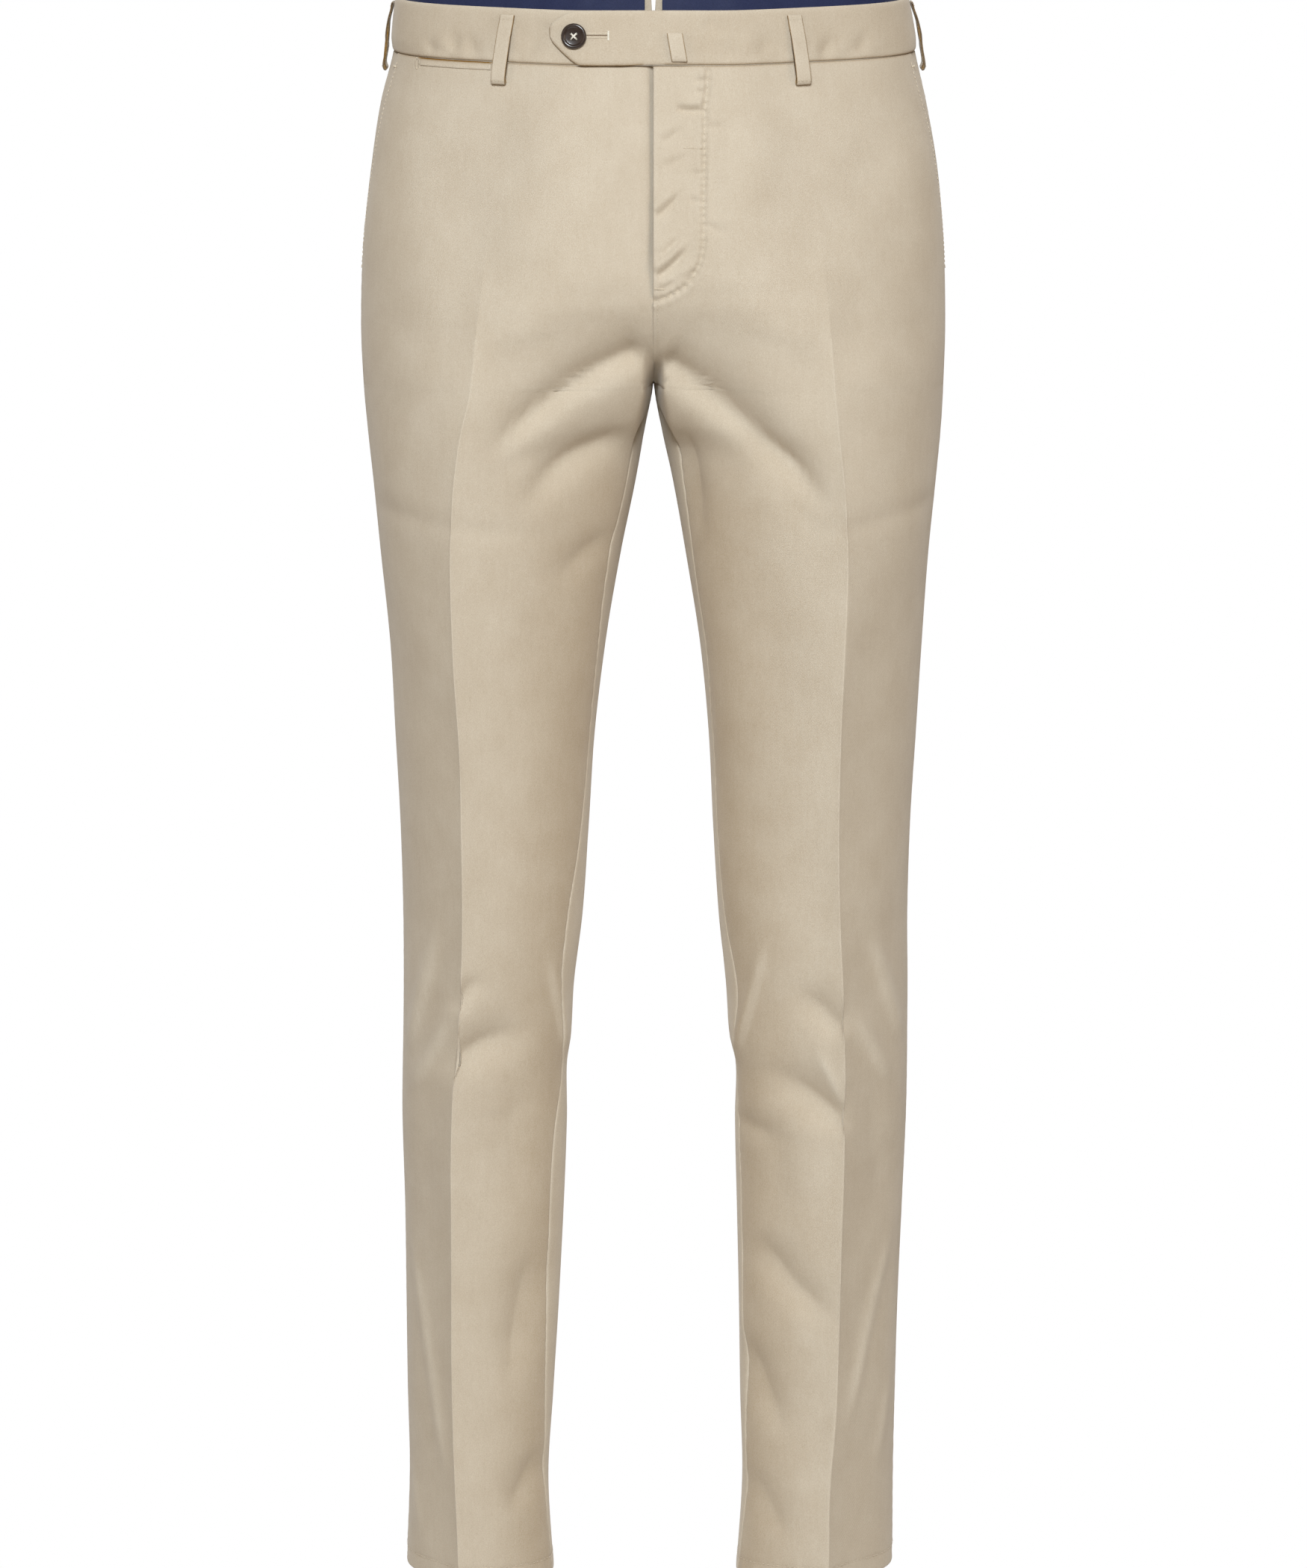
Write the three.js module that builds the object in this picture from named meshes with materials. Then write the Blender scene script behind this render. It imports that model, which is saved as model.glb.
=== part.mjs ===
// Chino trousers, filled out as if worn, in millimetres. +Z is up, the front faces -Y, and the wearer's
// left is +X. The origin is in the middle of the waist, level with the waist seam at the sides.
//
// Each half is one cloth surface, which runs from the centre front round the hip or leg to the centre
// back. It is cut along the side seam and the inside leg into a front and a back panel. Every panel is a
// thin wall through a stack of level sections, and each section is four cubic curves through its inseam,
// front crease, outseam and back crease.
import * as THREE from "three";

// Driving sizes
const WALL = 1.2; // one cloth panel
const GAP = 0.3; // between neighbouring pieces
const HEM = -1056; // level of the leg ends
const FORK = -226; // level where the legs part
const FORK_Y = 12; // how far back the fork lies
const HEM_TURN = 14; // height of the turned-up cloth inside a leg end
const WAIST_TILT = 0.1; // rise of the waist seam from front to back, per millimetre
const TILT_REACH = 130; // the tilt has died out this far below the waist
const BAND_HEIGHT = 36;
const BAND_WALL = 2.4; // two layers of cloth and an interlining
const BAND_PROUD = 0.9; // how far the band stands out from the panels
const FRONT_RISE_CURVE = 80; // height over which the front seam curves under to the fork
const BACK_RISE_CURVE = 92;
const SEAM_SHARE = 0.00045; // half a seam's gap, as a share of the way round a half
const FACET_ROOM = 1; // how far a piece inside a panel stays clear of its flat facets
const FLY_WIDTH = 32;
const FLY_END = -167;
const POCKET_END = -150; // level where the side pocket's mouth meets the side seam
const POCKET_LEAN = 0.045; // how far in front of the side seam the mouth starts, as a share of the half

// Where the panels' sections lie: runs of levels, each with a number of steps, closest at the folds.
const RUNS = [
  { from: -1056, to: -1042, steps: 1 },
  { from: -1042, to: -762, steps: 8 },
  { from: -762, to: -630, steps: 11 },
  { from: -630, to: -345, steps: 8 },
  { from: -345, to: -240, steps: 9 },
  { from: -240, to: -227, steps: 2 },
];
// Columns from a panel's inner edge to its crease, closest at the fly, and from there to the side seam.
const INNER_COLUMNS = [0, 0.07, 0.2, 0.36, 0.52, 0.68, 0.84, 1];
const OUTER_COLUMNS = [0, 0.15, 0.3, 0.45, 0.6, 0.75, 0.88, 1];

// The outline from the front: distances of the outseam edge, the front crease, the back crease and the
// inside leg from the middle, at each level h, and how far in front of the inside leg its seam runs, as a
// share of the way round the half.
const OUTLINE = {
  "-1": [
    { h: 40, outer: 173.5, crease: 104, backCrease: 94, inner: 0, seam: 0 },
    { h: 10, outer: 176.5, crease: 104, backCrease: 94, inner: 0, seam: 0 },
    { h: 0, outer: 176, crease: 105, backCrease: 94, inner: 0, seam: 0 },
    { h: -35, outer: 185, crease: 106, backCrease: 92, inner: 0, seam: 0 },
    { h: -80, outer: 192, crease: 108, backCrease: 88, inner: 0, seam: 0 },
    { h: -130, outer: 197.5, crease: 112, backCrease: 86, inner: 0, seam: 0 },
    { h: -185, outer: 199.5, crease: 118, backCrease: 87, inner: 0, seam: 0 },
    { h: -226, outer: 198, crease: 122, backCrease: 90, inner: 0, seam: 0 },
    { h: -256, outer: 195.5, crease: 129, backCrease: 92, inner: 5.5, seam: 0.045 },
    { h: -295, outer: 191.5, crease: 134, backCrease: 94, inner: 12.5, seam: 0.055 },
    { h: -343, outer: 187, crease: 136, backCrease: 96, inner: 22.5, seam: 0.06 },
    { h: -405, outer: 181, crease: 134.5, backCrease: 98, inner: 33, seam: 0.054 },
    { h: -467, outer: 178, crease: 131, backCrease: 101, inner: 40.5, seam: 0.047 },
    { h: -529, outer: 175, crease: 129.5, backCrease: 103, inner: 44.5, seam: 0.06 },
    { h: -592, outer: 173.5, crease: 129.5, backCrease: 105, inner: 49, seam: 0.085 },
    { h: -640, outer: 173.5, crease: 131.5, backCrease: 107, inner: 55, seam: 0.086 },
    { h: -676, outer: 174, crease: 134.5, backCrease: 108, inner: 57, seam: 0.068 },
    { h: -697, outer: 174.5, crease: 136.5, backCrease: 108, inner: 60, seam: 0.055 },
    { h: -735, outer: 175, crease: 138, backCrease: 109, inner: 60, seam: 0.078 },
    { h: -800, outer: 173.5, crease: 138.5, backCrease: 109, inner: 62.5, seam: 0.085 },
    { h: -866, outer: 173, crease: 139, backCrease: 109, inner: 66, seam: 0.08 },
    { h: -930, outer: 172.5, crease: 139, backCrease: 109, inner: 70, seam: 0.07 },
    { h: -990, outer: 171.5, crease: 137, backCrease: 109, inner: 73.5, seam: 0.048 },
    { h: -1056, outer: 174, crease: 135, backCrease: 109, inner: 70, seam: 0.025 },
  ],
  1: [
    { h: 40, outer: 171, crease: 104, backCrease: 94, inner: 0, seam: 0 },
    { h: 10, outer: 176.5, crease: 104, backCrease: 94, inner: 0, seam: 0 },
    { h: 0, outer: 177, crease: 105, backCrease: 94, inner: 0, seam: 0 },
    { h: -35, outer: 185, crease: 106, backCrease: 92, inner: 0, seam: 0 },
    { h: -80, outer: 193, crease: 108, backCrease: 88, inner: 0, seam: 0 },
    { h: -130, outer: 197.5, crease: 112, backCrease: 86, inner: 0, seam: 0 },
    { h: -185, outer: 199, crease: 118, backCrease: 87, inner: 0, seam: 0 },
    { h: -226, outer: 198, crease: 121, backCrease: 90, inner: 0, seam: 0 },
    { h: -256, outer: 196.5, crease: 124, backCrease: 92, inner: 5, seam: 0.05 },
    { h: -295, outer: 193, crease: 128, backCrease: 93, inner: 13.5, seam: 0.05 },
    { h: -343, outer: 188.5, crease: 130, backCrease: 95, inner: 22, seam: 0.054 },
    { h: -405, outer: 184.5, crease: 128, backCrease: 97, inner: 32, seam: 0.05 },
    { h: -467, outer: 181, crease: 126, backCrease: 99, inner: 38, seam: 0.046 },
    { h: -529, outer: 177.5, crease: 125, backCrease: 100, inner: 41, seam: 0.05 },
    { h: -592, outer: 176, crease: 126.5, backCrease: 102, inner: 45, seam: 0.059 },
    { h: -640, outer: 176.5, crease: 129, backCrease: 104, inner: 50, seam: 0.078 },
    { h: -676, outer: 176.5, crease: 130, backCrease: 105, inner: 52.5, seam: 0.06 },
    { h: -697, outer: 176.5, crease: 130.5, backCrease: 105, inner: 57, seam: 0.035 },
    { h: -735, outer: 176, crease: 130.5, backCrease: 105, inner: 56.5, seam: 0.04 },
    { h: -800, outer: 173.5, crease: 129, backCrease: 105, inner: 58, seam: 0.054 },
    { h: -866, outer: 171, crease: 128, backCrease: 104, inner: 59.5, seam: 0.059 },
    { h: -930, outer: 169.5, crease: 125.5, backCrease: 103, inner: 60.5, seam: 0.063 },
    { h: -990, outer: 168.5, crease: 121.5, backCrease: 102, inner: 62, seam: 0.055 },
    { h: -1056, outer: 168.5, crease: 121, backCrease: 101, inner: 58, seam: 0.045 },
  ],
};

// The outline from the side: y of the centre front, front crease, outseam, back crease, centre back and
// inside leg, and how sharply the front and back creases are pressed.
const PROFILE = [
  { h: 40, centreFront: -92, front: -73, side: 0, back: 77, centreBack: 90, inner: 12, pressed: 0 },
  { h: 0, centreFront: -93, front: -74, side: 0, back: 82, centreBack: 94, inner: 12, pressed: 0 },
  { h: -60, centreFront: -101, front: -83, side: 1, back: 103, centreBack: 107, inner: 12, pressed: 0 },
  { h: -130, centreFront: -106, front: -93, side: 2, back: 123, centreBack: 117, inner: 12, pressed: 0.02 },
  { h: -175, centreFront: -106, front: -100, side: 4, back: 126, centreBack: 116, inner: 12, pressed: 0.07 },
  { h: -226, centreFront: -105, front: -103, side: 5, back: 119, centreBack: 112, inner: 12, pressed: 0.14 },
  { h: -280, centreFront: -105, front: -103, side: 6, back: 109, centreBack: 108, inner: 13, pressed: 0.2 },
  { h: -380, centreFront: -105, front: -98, side: 9, back: 98, centreBack: 98, inner: 6, pressed: 0.26 },
  { h: -520, centreFront: -105, front: -89, side: 13, back: 88, centreBack: 88, inner: -2, pressed: 0.29 },
  { h: -680, centreFront: -105, front: -80, side: 16, back: 82, centreBack: 82, inner: -8, pressed: 0.3 },
  { h: -850, centreFront: -105, front: -69, side: 18, back: 81, centreBack: 81, inner: -10, pressed: 0.32 },
  { h: -1056, centreFront: -105, front: -58, side: 20, back: 75, centreBack: 75, inner: -12, pressed: 0.32 },
];

// The largest folds, each a soft trough (depth below zero) or ridge along a curve through three points,
// given as x from the middle and level h, on the front or the back face of one side.
const FOLDS = [
  { side: -1, face: "front", x: [6, 45, 112], h: [-178, -212, -256], depth: -5.5, width: 9 },
  { side: -1, face: "front", x: [14, 64, 95], h: [-246, -250, -306], depth: -5, width: 10 },
  { side: -1, face: "front", x: [28, 45, 64], h: [-318, -328, -340], depth: -2.2, width: 10 },
  { side: -1, face: "front", x: [143, 118, 82], h: [-689, -657, -647], depth: -5, width: 8 },
  { side: -1, face: "front", x: [90, 97, 101], h: [-822, -860, -905], depth: -2, width: 10 },
  { side: -1, face: "front", x: [88, 92, 99], h: [-965, -985, -1000], depth: -1.8, width: 10 },
  { side: 1, face: "front", x: [5, 55, 106], h: [-188, -224, -288], depth: -5.5, width: 10 },
  { side: 1, face: "front", x: [132, 104, 74], h: [-722, -692, -670], depth: -5, width: 8 },
  { side: 1, face: "front", x: [129, 118, 101], h: [-656, -638, -624], depth: -2.8, width: 9 },
  { side: 1, face: "front", x: [60, 72, 84], h: [-724, -728, -736], depth: -2.2, width: 9 },
  { side: 1, face: "front", x: [80, 104, 124], h: [-812, -842, -853], depth: -2.4, width: 9 },
  { side: 1, face: "front", x: [66, 76, 88], h: [-880, -910, -946], depth: -2, width: 9 },
  { side: -1, face: "back", x: [22, 84, 150], h: [-232, -268, -250], depth: -4, width: 11 },
  { side: -1, face: "back", x: [40, 92, 128], h: [-292, -306, -286], depth: -2.4, width: 11 },
  { side: -1, face: "back", x: [68, 112, 150], h: [-692, -672, -700], depth: -4, width: 10 },
  { side: -1, face: "back", x: [80, 110, 152], h: [-742, -728, -744], depth: -2.4, width: 10 },
  { side: 1, face: "back", x: [22, 88, 152], h: [-236, -264, -244], depth: -4, width: 11 },
  { side: 1, face: "back", x: [44, 88, 120], h: [-288, -304, -296], depth: -2.6, width: 11 },
  { side: 1, face: "back", x: [62, 104, 148], h: [-684, -676, -708], depth: -4, width: 10 },
  { side: 1, face: "back", x: [74, 108, 146], h: [-738, -732, -752], depth: -2.2, width: 10 },
];

// Colours and finishes
const twill = new THREE.MeshStandardMaterial({ color: 0xcfc3ac, roughness: 0.85, metalness: 0 });
const lining = new THREE.MeshStandardMaterial({ color: 0x2b3157, roughness: 0.6, metalness: 0 });
const horn = new THREE.MeshStandardMaterial({ color: 0x2a1f1c, roughness: 0.3, metalness: 0 });

const clamp01 = (v) => Math.min(1, Math.max(0, v));
const smooth = (from, to, v) => {
  const t = clamp01((v - from) / (to - from));
  return t * t * (3 - 2 * t);
};
const mix = (a, b, t) => a + (b - a) * t;

// One column of a table at level h, along a smooth curve through the table's rows, highest first.
function read(table, column, h) {
  const last = table.length - 1;
  let i = 0;
  while (i < last - 1 && h < table[i + 1].h) i += 1;
  const slope = (a, b) => (table[b][column] - table[a][column]) / (table[b].h - table[a].h);
  const step = table[i + 1].h - table[i].h;
  const t = clamp01((h - table[i].h) / step);
  const start = slope(Math.max(0, i - 1), i + 1) * step;
  const end = slope(i, Math.min(last, i + 2)) * step;
  const [p, q] = [table[i][column], table[i + 1][column]];
  return (
    p * (1 + 2 * t) * (1 - t) ** 2 + start * t * (1 - t) ** 2 + q * t * t * (3 - 2 * t) + end * t * t * (t - 1)
  );
}

const HANDLE = 0.55; // length of a curve's handles, as in a circle's quarter
const LEVELLING = 0.8; // how much of the line between a section's ends the crease's direction takes
const BACK_PRESS = 0.7; // the back crease is softer than the front one
const FLATTEN = 0.55; // share of the rise curve's height over which the cleft between the legs fills out

const lerp = (a, b, t) => [mix(a[0], b[0], t), mix(a[1], b[1], t)];

// The point at t on a cubic curve, and the control points of the part of it from t to its end.
function split([a, b, c, d], t) {
  const [ab, bc, cd] = [lerp(a, b, t), lerp(b, c, t), lerp(c, d, t)];
  const [abc, bcd] = [lerp(ab, bc, t), lerp(bc, cd, t)];
  return [lerp(abc, bcd, t), bcd, cd, d];
}

// The front or back face of one half's section at level h, as the control points of two cubic curves that
// both end at the crease: one from the inseam or rise seam, one from the outseam.
function face(side, h, front) {
  const outline = (column) => read(OUTLINE[side], column, h);
  const profile = (column) => read(PROFILE, column, h);
  const crease = front ? [outline("crease"), profile("front")] : [outline("backCrease"), profile("back")];
  const outer = [outline("outer"), profile("side")];
  const q = clamp01((h - FORK) / (front ? FRONT_RISE_CURVE : BACK_RISE_CURVE));
  const inner = [h > FORK ? GAP / 2 : Math.max(GAP / 2, outline("inner")), h > FORK ? FORK_Y : profile("inner")];
  const seam = [inner[0], mix(inner[1], profile(front ? "centreFront" : "centreBack"), Math.sqrt(1 - (1 - q) ** 2))];
  const flat = smooth(0, FLATTEN, q);

  const share = (crease[0] - inner[0]) / (outer[0] - inner[0]);
  const fall = LEVELLING * (outer[1] - mix(inner[1], seam[1], flat));
  const press = profile("pressed") * (front ? 1 : BACK_PRESS);
  const outerLift = press * (outer[1] - crease[1]) + HANDLE * (1 - share) * fall;
  const innerLift = press * (inner[1] - crease[1]) - HANDLE * share * fall;
  const outwards = [crease[0] + HANDLE * (outer[0] - crease[0]), crease[1] + outerLift];
  const inwards = [crease[0] - HANDLE * (crease[0] - inner[0]), crease[1] + innerLift];

  const leg = [inner, [inner[0], mix(inner[1], crease[1], HANDLE)], inwards, crease];
  let reach = 0;
  for (let step = 0.25; step > 0.001; step /= 2)
    if (Math.abs(split(leg, reach + step)[0][1] - inner[1]) < Math.abs(seam[1] - inner[1])) reach += step;
  const cleft = split(leg, reach);
  cleft[0] = seam;
  const belly = [seam, [mix(seam[0], crease[0], HANDLE), seam[1]], inwards, crease];
  return {
    fromInner: cleft.map((point, i) => lerp(point, belly[i], flat)),
    fromOuter: [outer, [outer[0], mix(outer[1], crease[1], HANDLE)], outwards, crease],
  };
}

// The bare surface of one half: s runs from 0 at the inseam or centre front, through 0.25 at the front
// crease, 0.5 at the outseam and 0.75 at the back crease, to 1.
function bare(side, share, h) {
  const s = h <= FORK ? (share + 1) % 1 : clamp01(share);
  const { fromInner, fromOuter } = face(side, h, s < 0.5);
  const t = 4 * Math.abs(s - 0.5);
  const [x, y] = t > 1 ? split(fromInner, 2 - t)[0] : split(fromOuter, t)[0];
  const tilt = WAIST_TILT * smooth(-TILT_REACH, 0, h);
  return new THREE.Vector3(side * Math.max(GAP / 2, x), y, h + tilt * y);
}

// The bare surface's outward direction.
function outward(side, s, h) {
  const round = bare(side, s + 0.004, h).sub(bare(side, s - 0.004, h));
  const up = bare(side, s, h + 1.5).sub(bare(side, s, h - 1.5));
  return round.cross(up).normalize().multiplyScalar(side);
}

// How far a fold moves the point at x, h, from its nearest point on the fold's curve.
const FOLD_SAMPLES = 12;
function foldAt(fold, x, h) {
  let nearest = Infinity;
  let strength = 0;
  for (let i = 0; i <= FOLD_SAMPLES; i += 1) {
    const t = i / FOLD_SAMPLES;
    const bend = (v) => v[0] * (1 - t) ** 2 + 2 * v[1] * t * (1 - t) + v[2] * t * t;
    const away = Math.hypot(x - bend(fold.x), h - bend(fold.h));
    if (away < nearest) {
      nearest = away;
      strength = Math.sin(Math.PI * mix(0.12, 0.9, t));
    }
  }
  return fold.depth * strength * Math.exp(-((nearest / fold.width) ** 2));
}

// The relief on a half at a bare point with its outward direction: folds, and the dip beside the fly.
function relief(side, point, out) {
  const face = out.y < 0 ? "front" : "back";
  const facing = smooth(0.1, 0.6, Math.abs(out.y));
  const x = Math.abs(point.x);
  const folds = FOLDS.filter((fold) => fold.side === side && fold.face === face);
  const drape = folds.reduce((sum, fold) => sum + foldAt(fold, x, point.z), 0) * facing;
  const beside = face === "front" ? smooth(FLY_END - 10, FLY_END + 40, point.z) : 0;
  const dip = side < 0 ? -2.6 * beside * Math.exp(-((x / 7) ** 2)) : 0.5 * beside * smooth(FLY_WIDTH + 4, FLY_WIDTH, x);
  return drape + dip;
}

// A point on the finished surface of a half, moved out by lift.
function cloth(side, s, h, lift = 0) {
  const point = bare(side, s, h);
  const out = outward(side, s, h);
  point.addScaledVector(out, relief(side, point, out) + lift);
  point.x = side * Math.max(GAP / 2, side * point.x);
  return point;
}

// The share s at which the front of a half lies x from the middle, at level h.
function shareAtX(side, x, h, back = false) {
  let [near, far] = back ? [1, 0.5] : [0, 0.5];
  for (let i = 0; i < 24; i += 1) {
    const middle = (near + far) / 2;
    if (Math.abs(bare(side, middle, h).x) < x) near = middle;
    else far = middle;
  }
  return (near + far) / 2;
}

// A closed wall between two grids of points, outer[row][column] and inner[row][column].
function wall(outer, inner) {
  const rows = outer.length;
  const columns = outer[0].length;
  const points = [...outer.flat(), ...inner.flat()];
  const at = (layer, row, column) => layer * rows * columns + row * columns + column;
  const faces = [];
  const quad = (a, b, c, d) => faces.push(a, b, c, a, c, d);
  for (let r = 0; r < rows - 1; r += 1) {
    for (let c = 0; c < columns - 1; c += 1) {
      quad(at(0, r, c), at(0, r, c + 1), at(0, r + 1, c + 1), at(0, r + 1, c));
      quad(at(1, r, c), at(1, r + 1, c), at(1, r + 1, c + 1), at(1, r, c + 1));
    }
    quad(at(0, r, 0), at(0, r + 1, 0), at(1, r + 1, 0), at(1, r, 0));
    quad(at(0, r, columns - 1), at(1, r, columns - 1), at(1, r + 1, columns - 1), at(0, r + 1, columns - 1));
  }
  for (let c = 0; c < columns - 1; c += 1) {
    quad(at(0, 0, c), at(1, 0, c), at(1, 0, c + 1), at(0, 0, c + 1));
    quad(at(0, rows - 1, c), at(0, rows - 1, c + 1), at(1, rows - 1, c + 1), at(1, rows - 1, c));
  }
  return facingOut(points, faces);
}

// A geometry from points and triangles, turned round if its faces point inwards.
function facingOut(points, faces) {
  let volume = 0;
  for (let i = 0; i < faces.length; i += 3) {
    const [a, b, c] = [points[faces[i]], points[faces[i + 1]], points[faces[i + 2]]];
    volume += a.dot(new THREE.Vector3().crossVectors(b, c));
  }
  if (volume < 0) faces.reverse();
  const geometry = new THREE.BufferGeometry();
  geometry.setAttribute("position", new THREE.Float32BufferAttribute(points.flatMap((p) => [p.x, p.y, p.z]), 3));
  geometry.setIndex(faces);
  geometry.computeVertexNormals();
  return geometry;
}

const trousers = new THREE.Group();
trousers.name = "chino_trousers";
function add(name, geometry, material) {
  const mesh = new THREE.Mesh(geometry, material);
  mesh.name = name;
  trousers.add(mesh);
}

const spread = (from, to, count) => Array.from({ length: count + 1 }, (_, i) => mix(from, to, i / count));
const SIDES = [
  { side: -1, hand: "right" },
  { side: 1, hand: "left" },
];

// Levels of the panels' sections. Above the fork they close up where the rise seam curves under.
function panelLevels() {
  const legs = RUNS.flatMap(({ from, to, steps }) => spread(from, to, steps).slice(0, -1));
  const aboveFork = [1, 2, 3, 4, 5, 6].map((i) => FORK + FRONT_RISE_CURVE * (i / 6) ** 2);
  const hips = spread(FORK + FRONT_RISE_CURVE, -GAP / 2, 6).slice(1);
  return [...legs, FORK - 1, ...aboveFork, ...hips];
}

// Where the inside leg seam runs: a little in front of the leg's inner edge, and at the middle above.
const inseamShare = (side, h) => (h < FORK ? read(OUTLINE[side], "seam", h) : 0);

// The front panel's outer edge: the side seam, or the pocket's mouth above POCKET_END.
const mouthShare = (h) => 0.5 - POCKET_LEAN * clamp01((h - POCKET_END) / -POCKET_END);

// The wall doubles inside each leg end, where the hem is turned up.
const wallAt = (h) => WALL * (h < HEM + HEM_TURN ? 2 : 1);

// A panel from its inner edge through its crease to its outer edge, each given as a share of the half.
function panel(side, innerEdge, crease, outerEdge) {
  const towardsOuter = Math.sign(crease - innerEdge(0));
  const columns = (h) => [
    ...INNER_COLUMNS.slice(0, -1).map((t) => mix(innerEdge(h) + towardsOuter * SEAM_SHARE, crease, t)),
    ...OUTER_COLUMNS.map((t) => mix(crease, outerEdge(h) - towardsOuter * SEAM_SHARE, t)),
  ];
  const grid = (depth) => panelLevels().map((h) => columns(h).map((s) => cloth(side, s, h, -depth(h))));
  return wall(grid(() => 0), grid(wallAt));
}

for (const { side, hand } of SIDES) {
  const seam = (h) => inseamShare(side, h);
  add(`front_${hand}`, panel(side, seam, 0.25, mouthShare), twill);
  add(`back_${hand}`, panel(side, (h) => 1 + seam(h), 0.75, () => 0.5), twill);
}

// The cloth behind each side pocket's mouth, which fills the way to the side seam and reaches under the
// front panel.
function pocketFacing(side) {
  const levels = spread(POCKET_END + 8, -1, 7);
  const grid = (depth) =>
    levels.map((h) =>
      spread(mouthShare(h) - 0.03, 0.5 - 2 * SEAM_SHARE, 3).map((s) => cloth(side, s, h, -depth)),
    );
  return wall(grid(WALL + FACET_ROOM), grid(2 * WALL + FACET_ROOM));
}

// The mouth's far edge stays under the panel, so the facing reads as a step of one cloth's thickness.
for (const { side, hand } of SIDES) add(`pocket_facing_${hand}`, pocketFacing(side), twill);

// The waistband: each half runs to the centre back, where the two ends leave a narrow notch that widens
// upwards. The left half carries on over the right one as a pointed tab.
const NOTCH_LOW = 1.5;
const NOTCH_HIGH = 5;
const BAND_ROWS = [0, 1 / 3, 2 / 3, 1];

// A point on the waistband at share s and part v of its height.
function band(side, s, v, lift) {
  return cloth(side, s, mix(GAP, BAND_HEIGHT, v), BAND_PROUD + lift);
}

function backEnd(side, v) {
  const x = mix(NOTCH_LOW, NOTCH_HIGH, v ** 2) / 2;
  return shareAtX(side, x, BAND_HEIGHT * v, true);
}

function waistbandRight() {
  const grid = (lift) =>
    BAND_ROWS.map((v) => spread(SEAM_SHARE, backEnd(-1, v), 22).map((s) => band(-1, s, v, lift)));
  return wall(grid(0), grid(-BAND_WALL));
}
add("waistband_right", waistbandRight(), twill);

// Columns of the pointed tab: distance past the centre front, and the low and high edge of the band's
// height there.
const TAB = [
  { x: 68, low: 0.5, high: 0.7 },
  { x: 66, low: 0.36, high: 0.79 },
  { x: 60, low: 0.2, high: 0.87 },
  { x: 53, low: 0.03, high: 0.96 },
  { x: 47, low: -0.02, high: 1 },
  { x: 34, low: -0.02, high: 1 },
  { x: 20, low: -0.02, high: 1 },
  { x: 8, low: 0, high: 1 },
];
const TAB_LIFT = BAND_WALL + GAP; // the tab lies on the right half

function waistbandLeft() {
  const rows = (lift) =>
    BAND_ROWS.map((v) => {
      const tab = TAB.map(({ x, low, high }) => {
        const part = mix(low, high, v);
        return band(-1, shareAtX(-1, x, BAND_HEIGHT * part), part, TAB_LIFT + lift);
      });
      const half = spread(0.01, backEnd(1, v), 22).map((s) => {
        const step = TAB_LIFT * (1 - smooth(0.01, 0.09, s));
        return band(1, s, v, step + lift);
      });
      return [...tab, ...half];
    });
  return wall(rows(0), rows(-BAND_WALL));
}
add("waistband_left", waistbandLeft(), twill);

// The dark lining that shows inside the back of the waistband, from each side seam to near the notch.
function bandLining(side) {
  const grid = (depth) =>
    [0.06, 0.5, 0.92].map((v) => {
      const near = shareAtX(side, 6, BAND_HEIGHT * v, true);
      return spread(0.5, near, 12).map((s) => band(side, s, v, -depth));
    });
  const under = BAND_WALL + 0.7;
  return wall(grid(under), grid(under + 1));
}
for (const { side, hand } of SIDES) add(`waistband_lining_${hand}`, bandLining(side), lining);

// The fly shield: the strip on the right half that closes the fly from behind.
const SHIELD = { right: [14, 7, 1], left: [3, 14, 25] };
function flyShield() {
  const levels = spread(FLY_END + 12, -3, 8);
  const grid = (depth) =>
    levels.map((h) => [
      ...SHIELD.right.map((x) => cloth(-1, shareAtX(-1, x, h), h, -depth)),
      ...SHIELD.left.map((x) => cloth(1, shareAtX(1, x, h), h, -depth - 2)),
    ]);
  return wall(grid(WALL + 2 * FACET_ROOM), grid(2 * WALL + 2 * FACET_ROOM));
}
add("fly_shield", flyShield(), twill);

// A strap sewn down at both ends: outline points of its side view, each a level and a distance from the
// surface, swept over its width.
const LOOP_THICK = 1.6;
const LOOP_STAND = 2.5; // room behind a belt loop
const loopOutline = (high, low, stand) => {
  const middle = (high + low) / 2;
  return [
    [high, GAP], [high + 0.6, GAP + 0.8 * LOOP_THICK], [high - 5, GAP + 0.5 + LOOP_THICK],
    [middle + 6, stand + LOOP_THICK], [middle - 10, stand + LOOP_THICK + 0.5],
    [low + 3, stand + LOOP_THICK + 0.3], [low, 0.55 * stand + LOOP_THICK], [low + 0.2, GAP],
    [low + 3.2, GAP], [low + 4.4, stand], [middle - 10, stand + 0.5], [middle + 6, stand],
    [high - 5.4, GAP + 0.5], [high - 4.6, GAP],
  ];
};

function strap(side, outline, edges) {
  const ringAt = (edge) => outline.map(([h, lift]) => cloth(side, edge(h), h, lift));
  const rings = edges.map(ringAt);
  const count = outline.length;
  const points = rings.flat();
  const faces = [];
  for (let r = 0; r < rings.length - 1; r += 1)
    for (let i = 0; i < count; i += 1) {
      const j = (i + 1) % count;
      faces.push(r * count + i, r * count + j, (r + 1) * count + j);
      faces.push(r * count + i, (r + 1) * count + j, (r + 1) * count + i);
    }
  const flat = outline.map(([h, lift]) => new THREE.Vector2(h, lift));
  const caps = THREE.ShapeUtils.triangulateShape(flat, []);
  const clockwise = THREE.ShapeUtils.isClockWise(flat);
  const lastRing = (rings.length - 1) * count;
  for (const [a, b, c] of caps) {
    const [p, q] = clockwise ? [c, b] : [b, c];
    faces.push(a, q, p);
    faces.push(lastRing + a, lastRing + p, lastRing + q);
  }
  return facingOut(points, faces);
}

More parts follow.
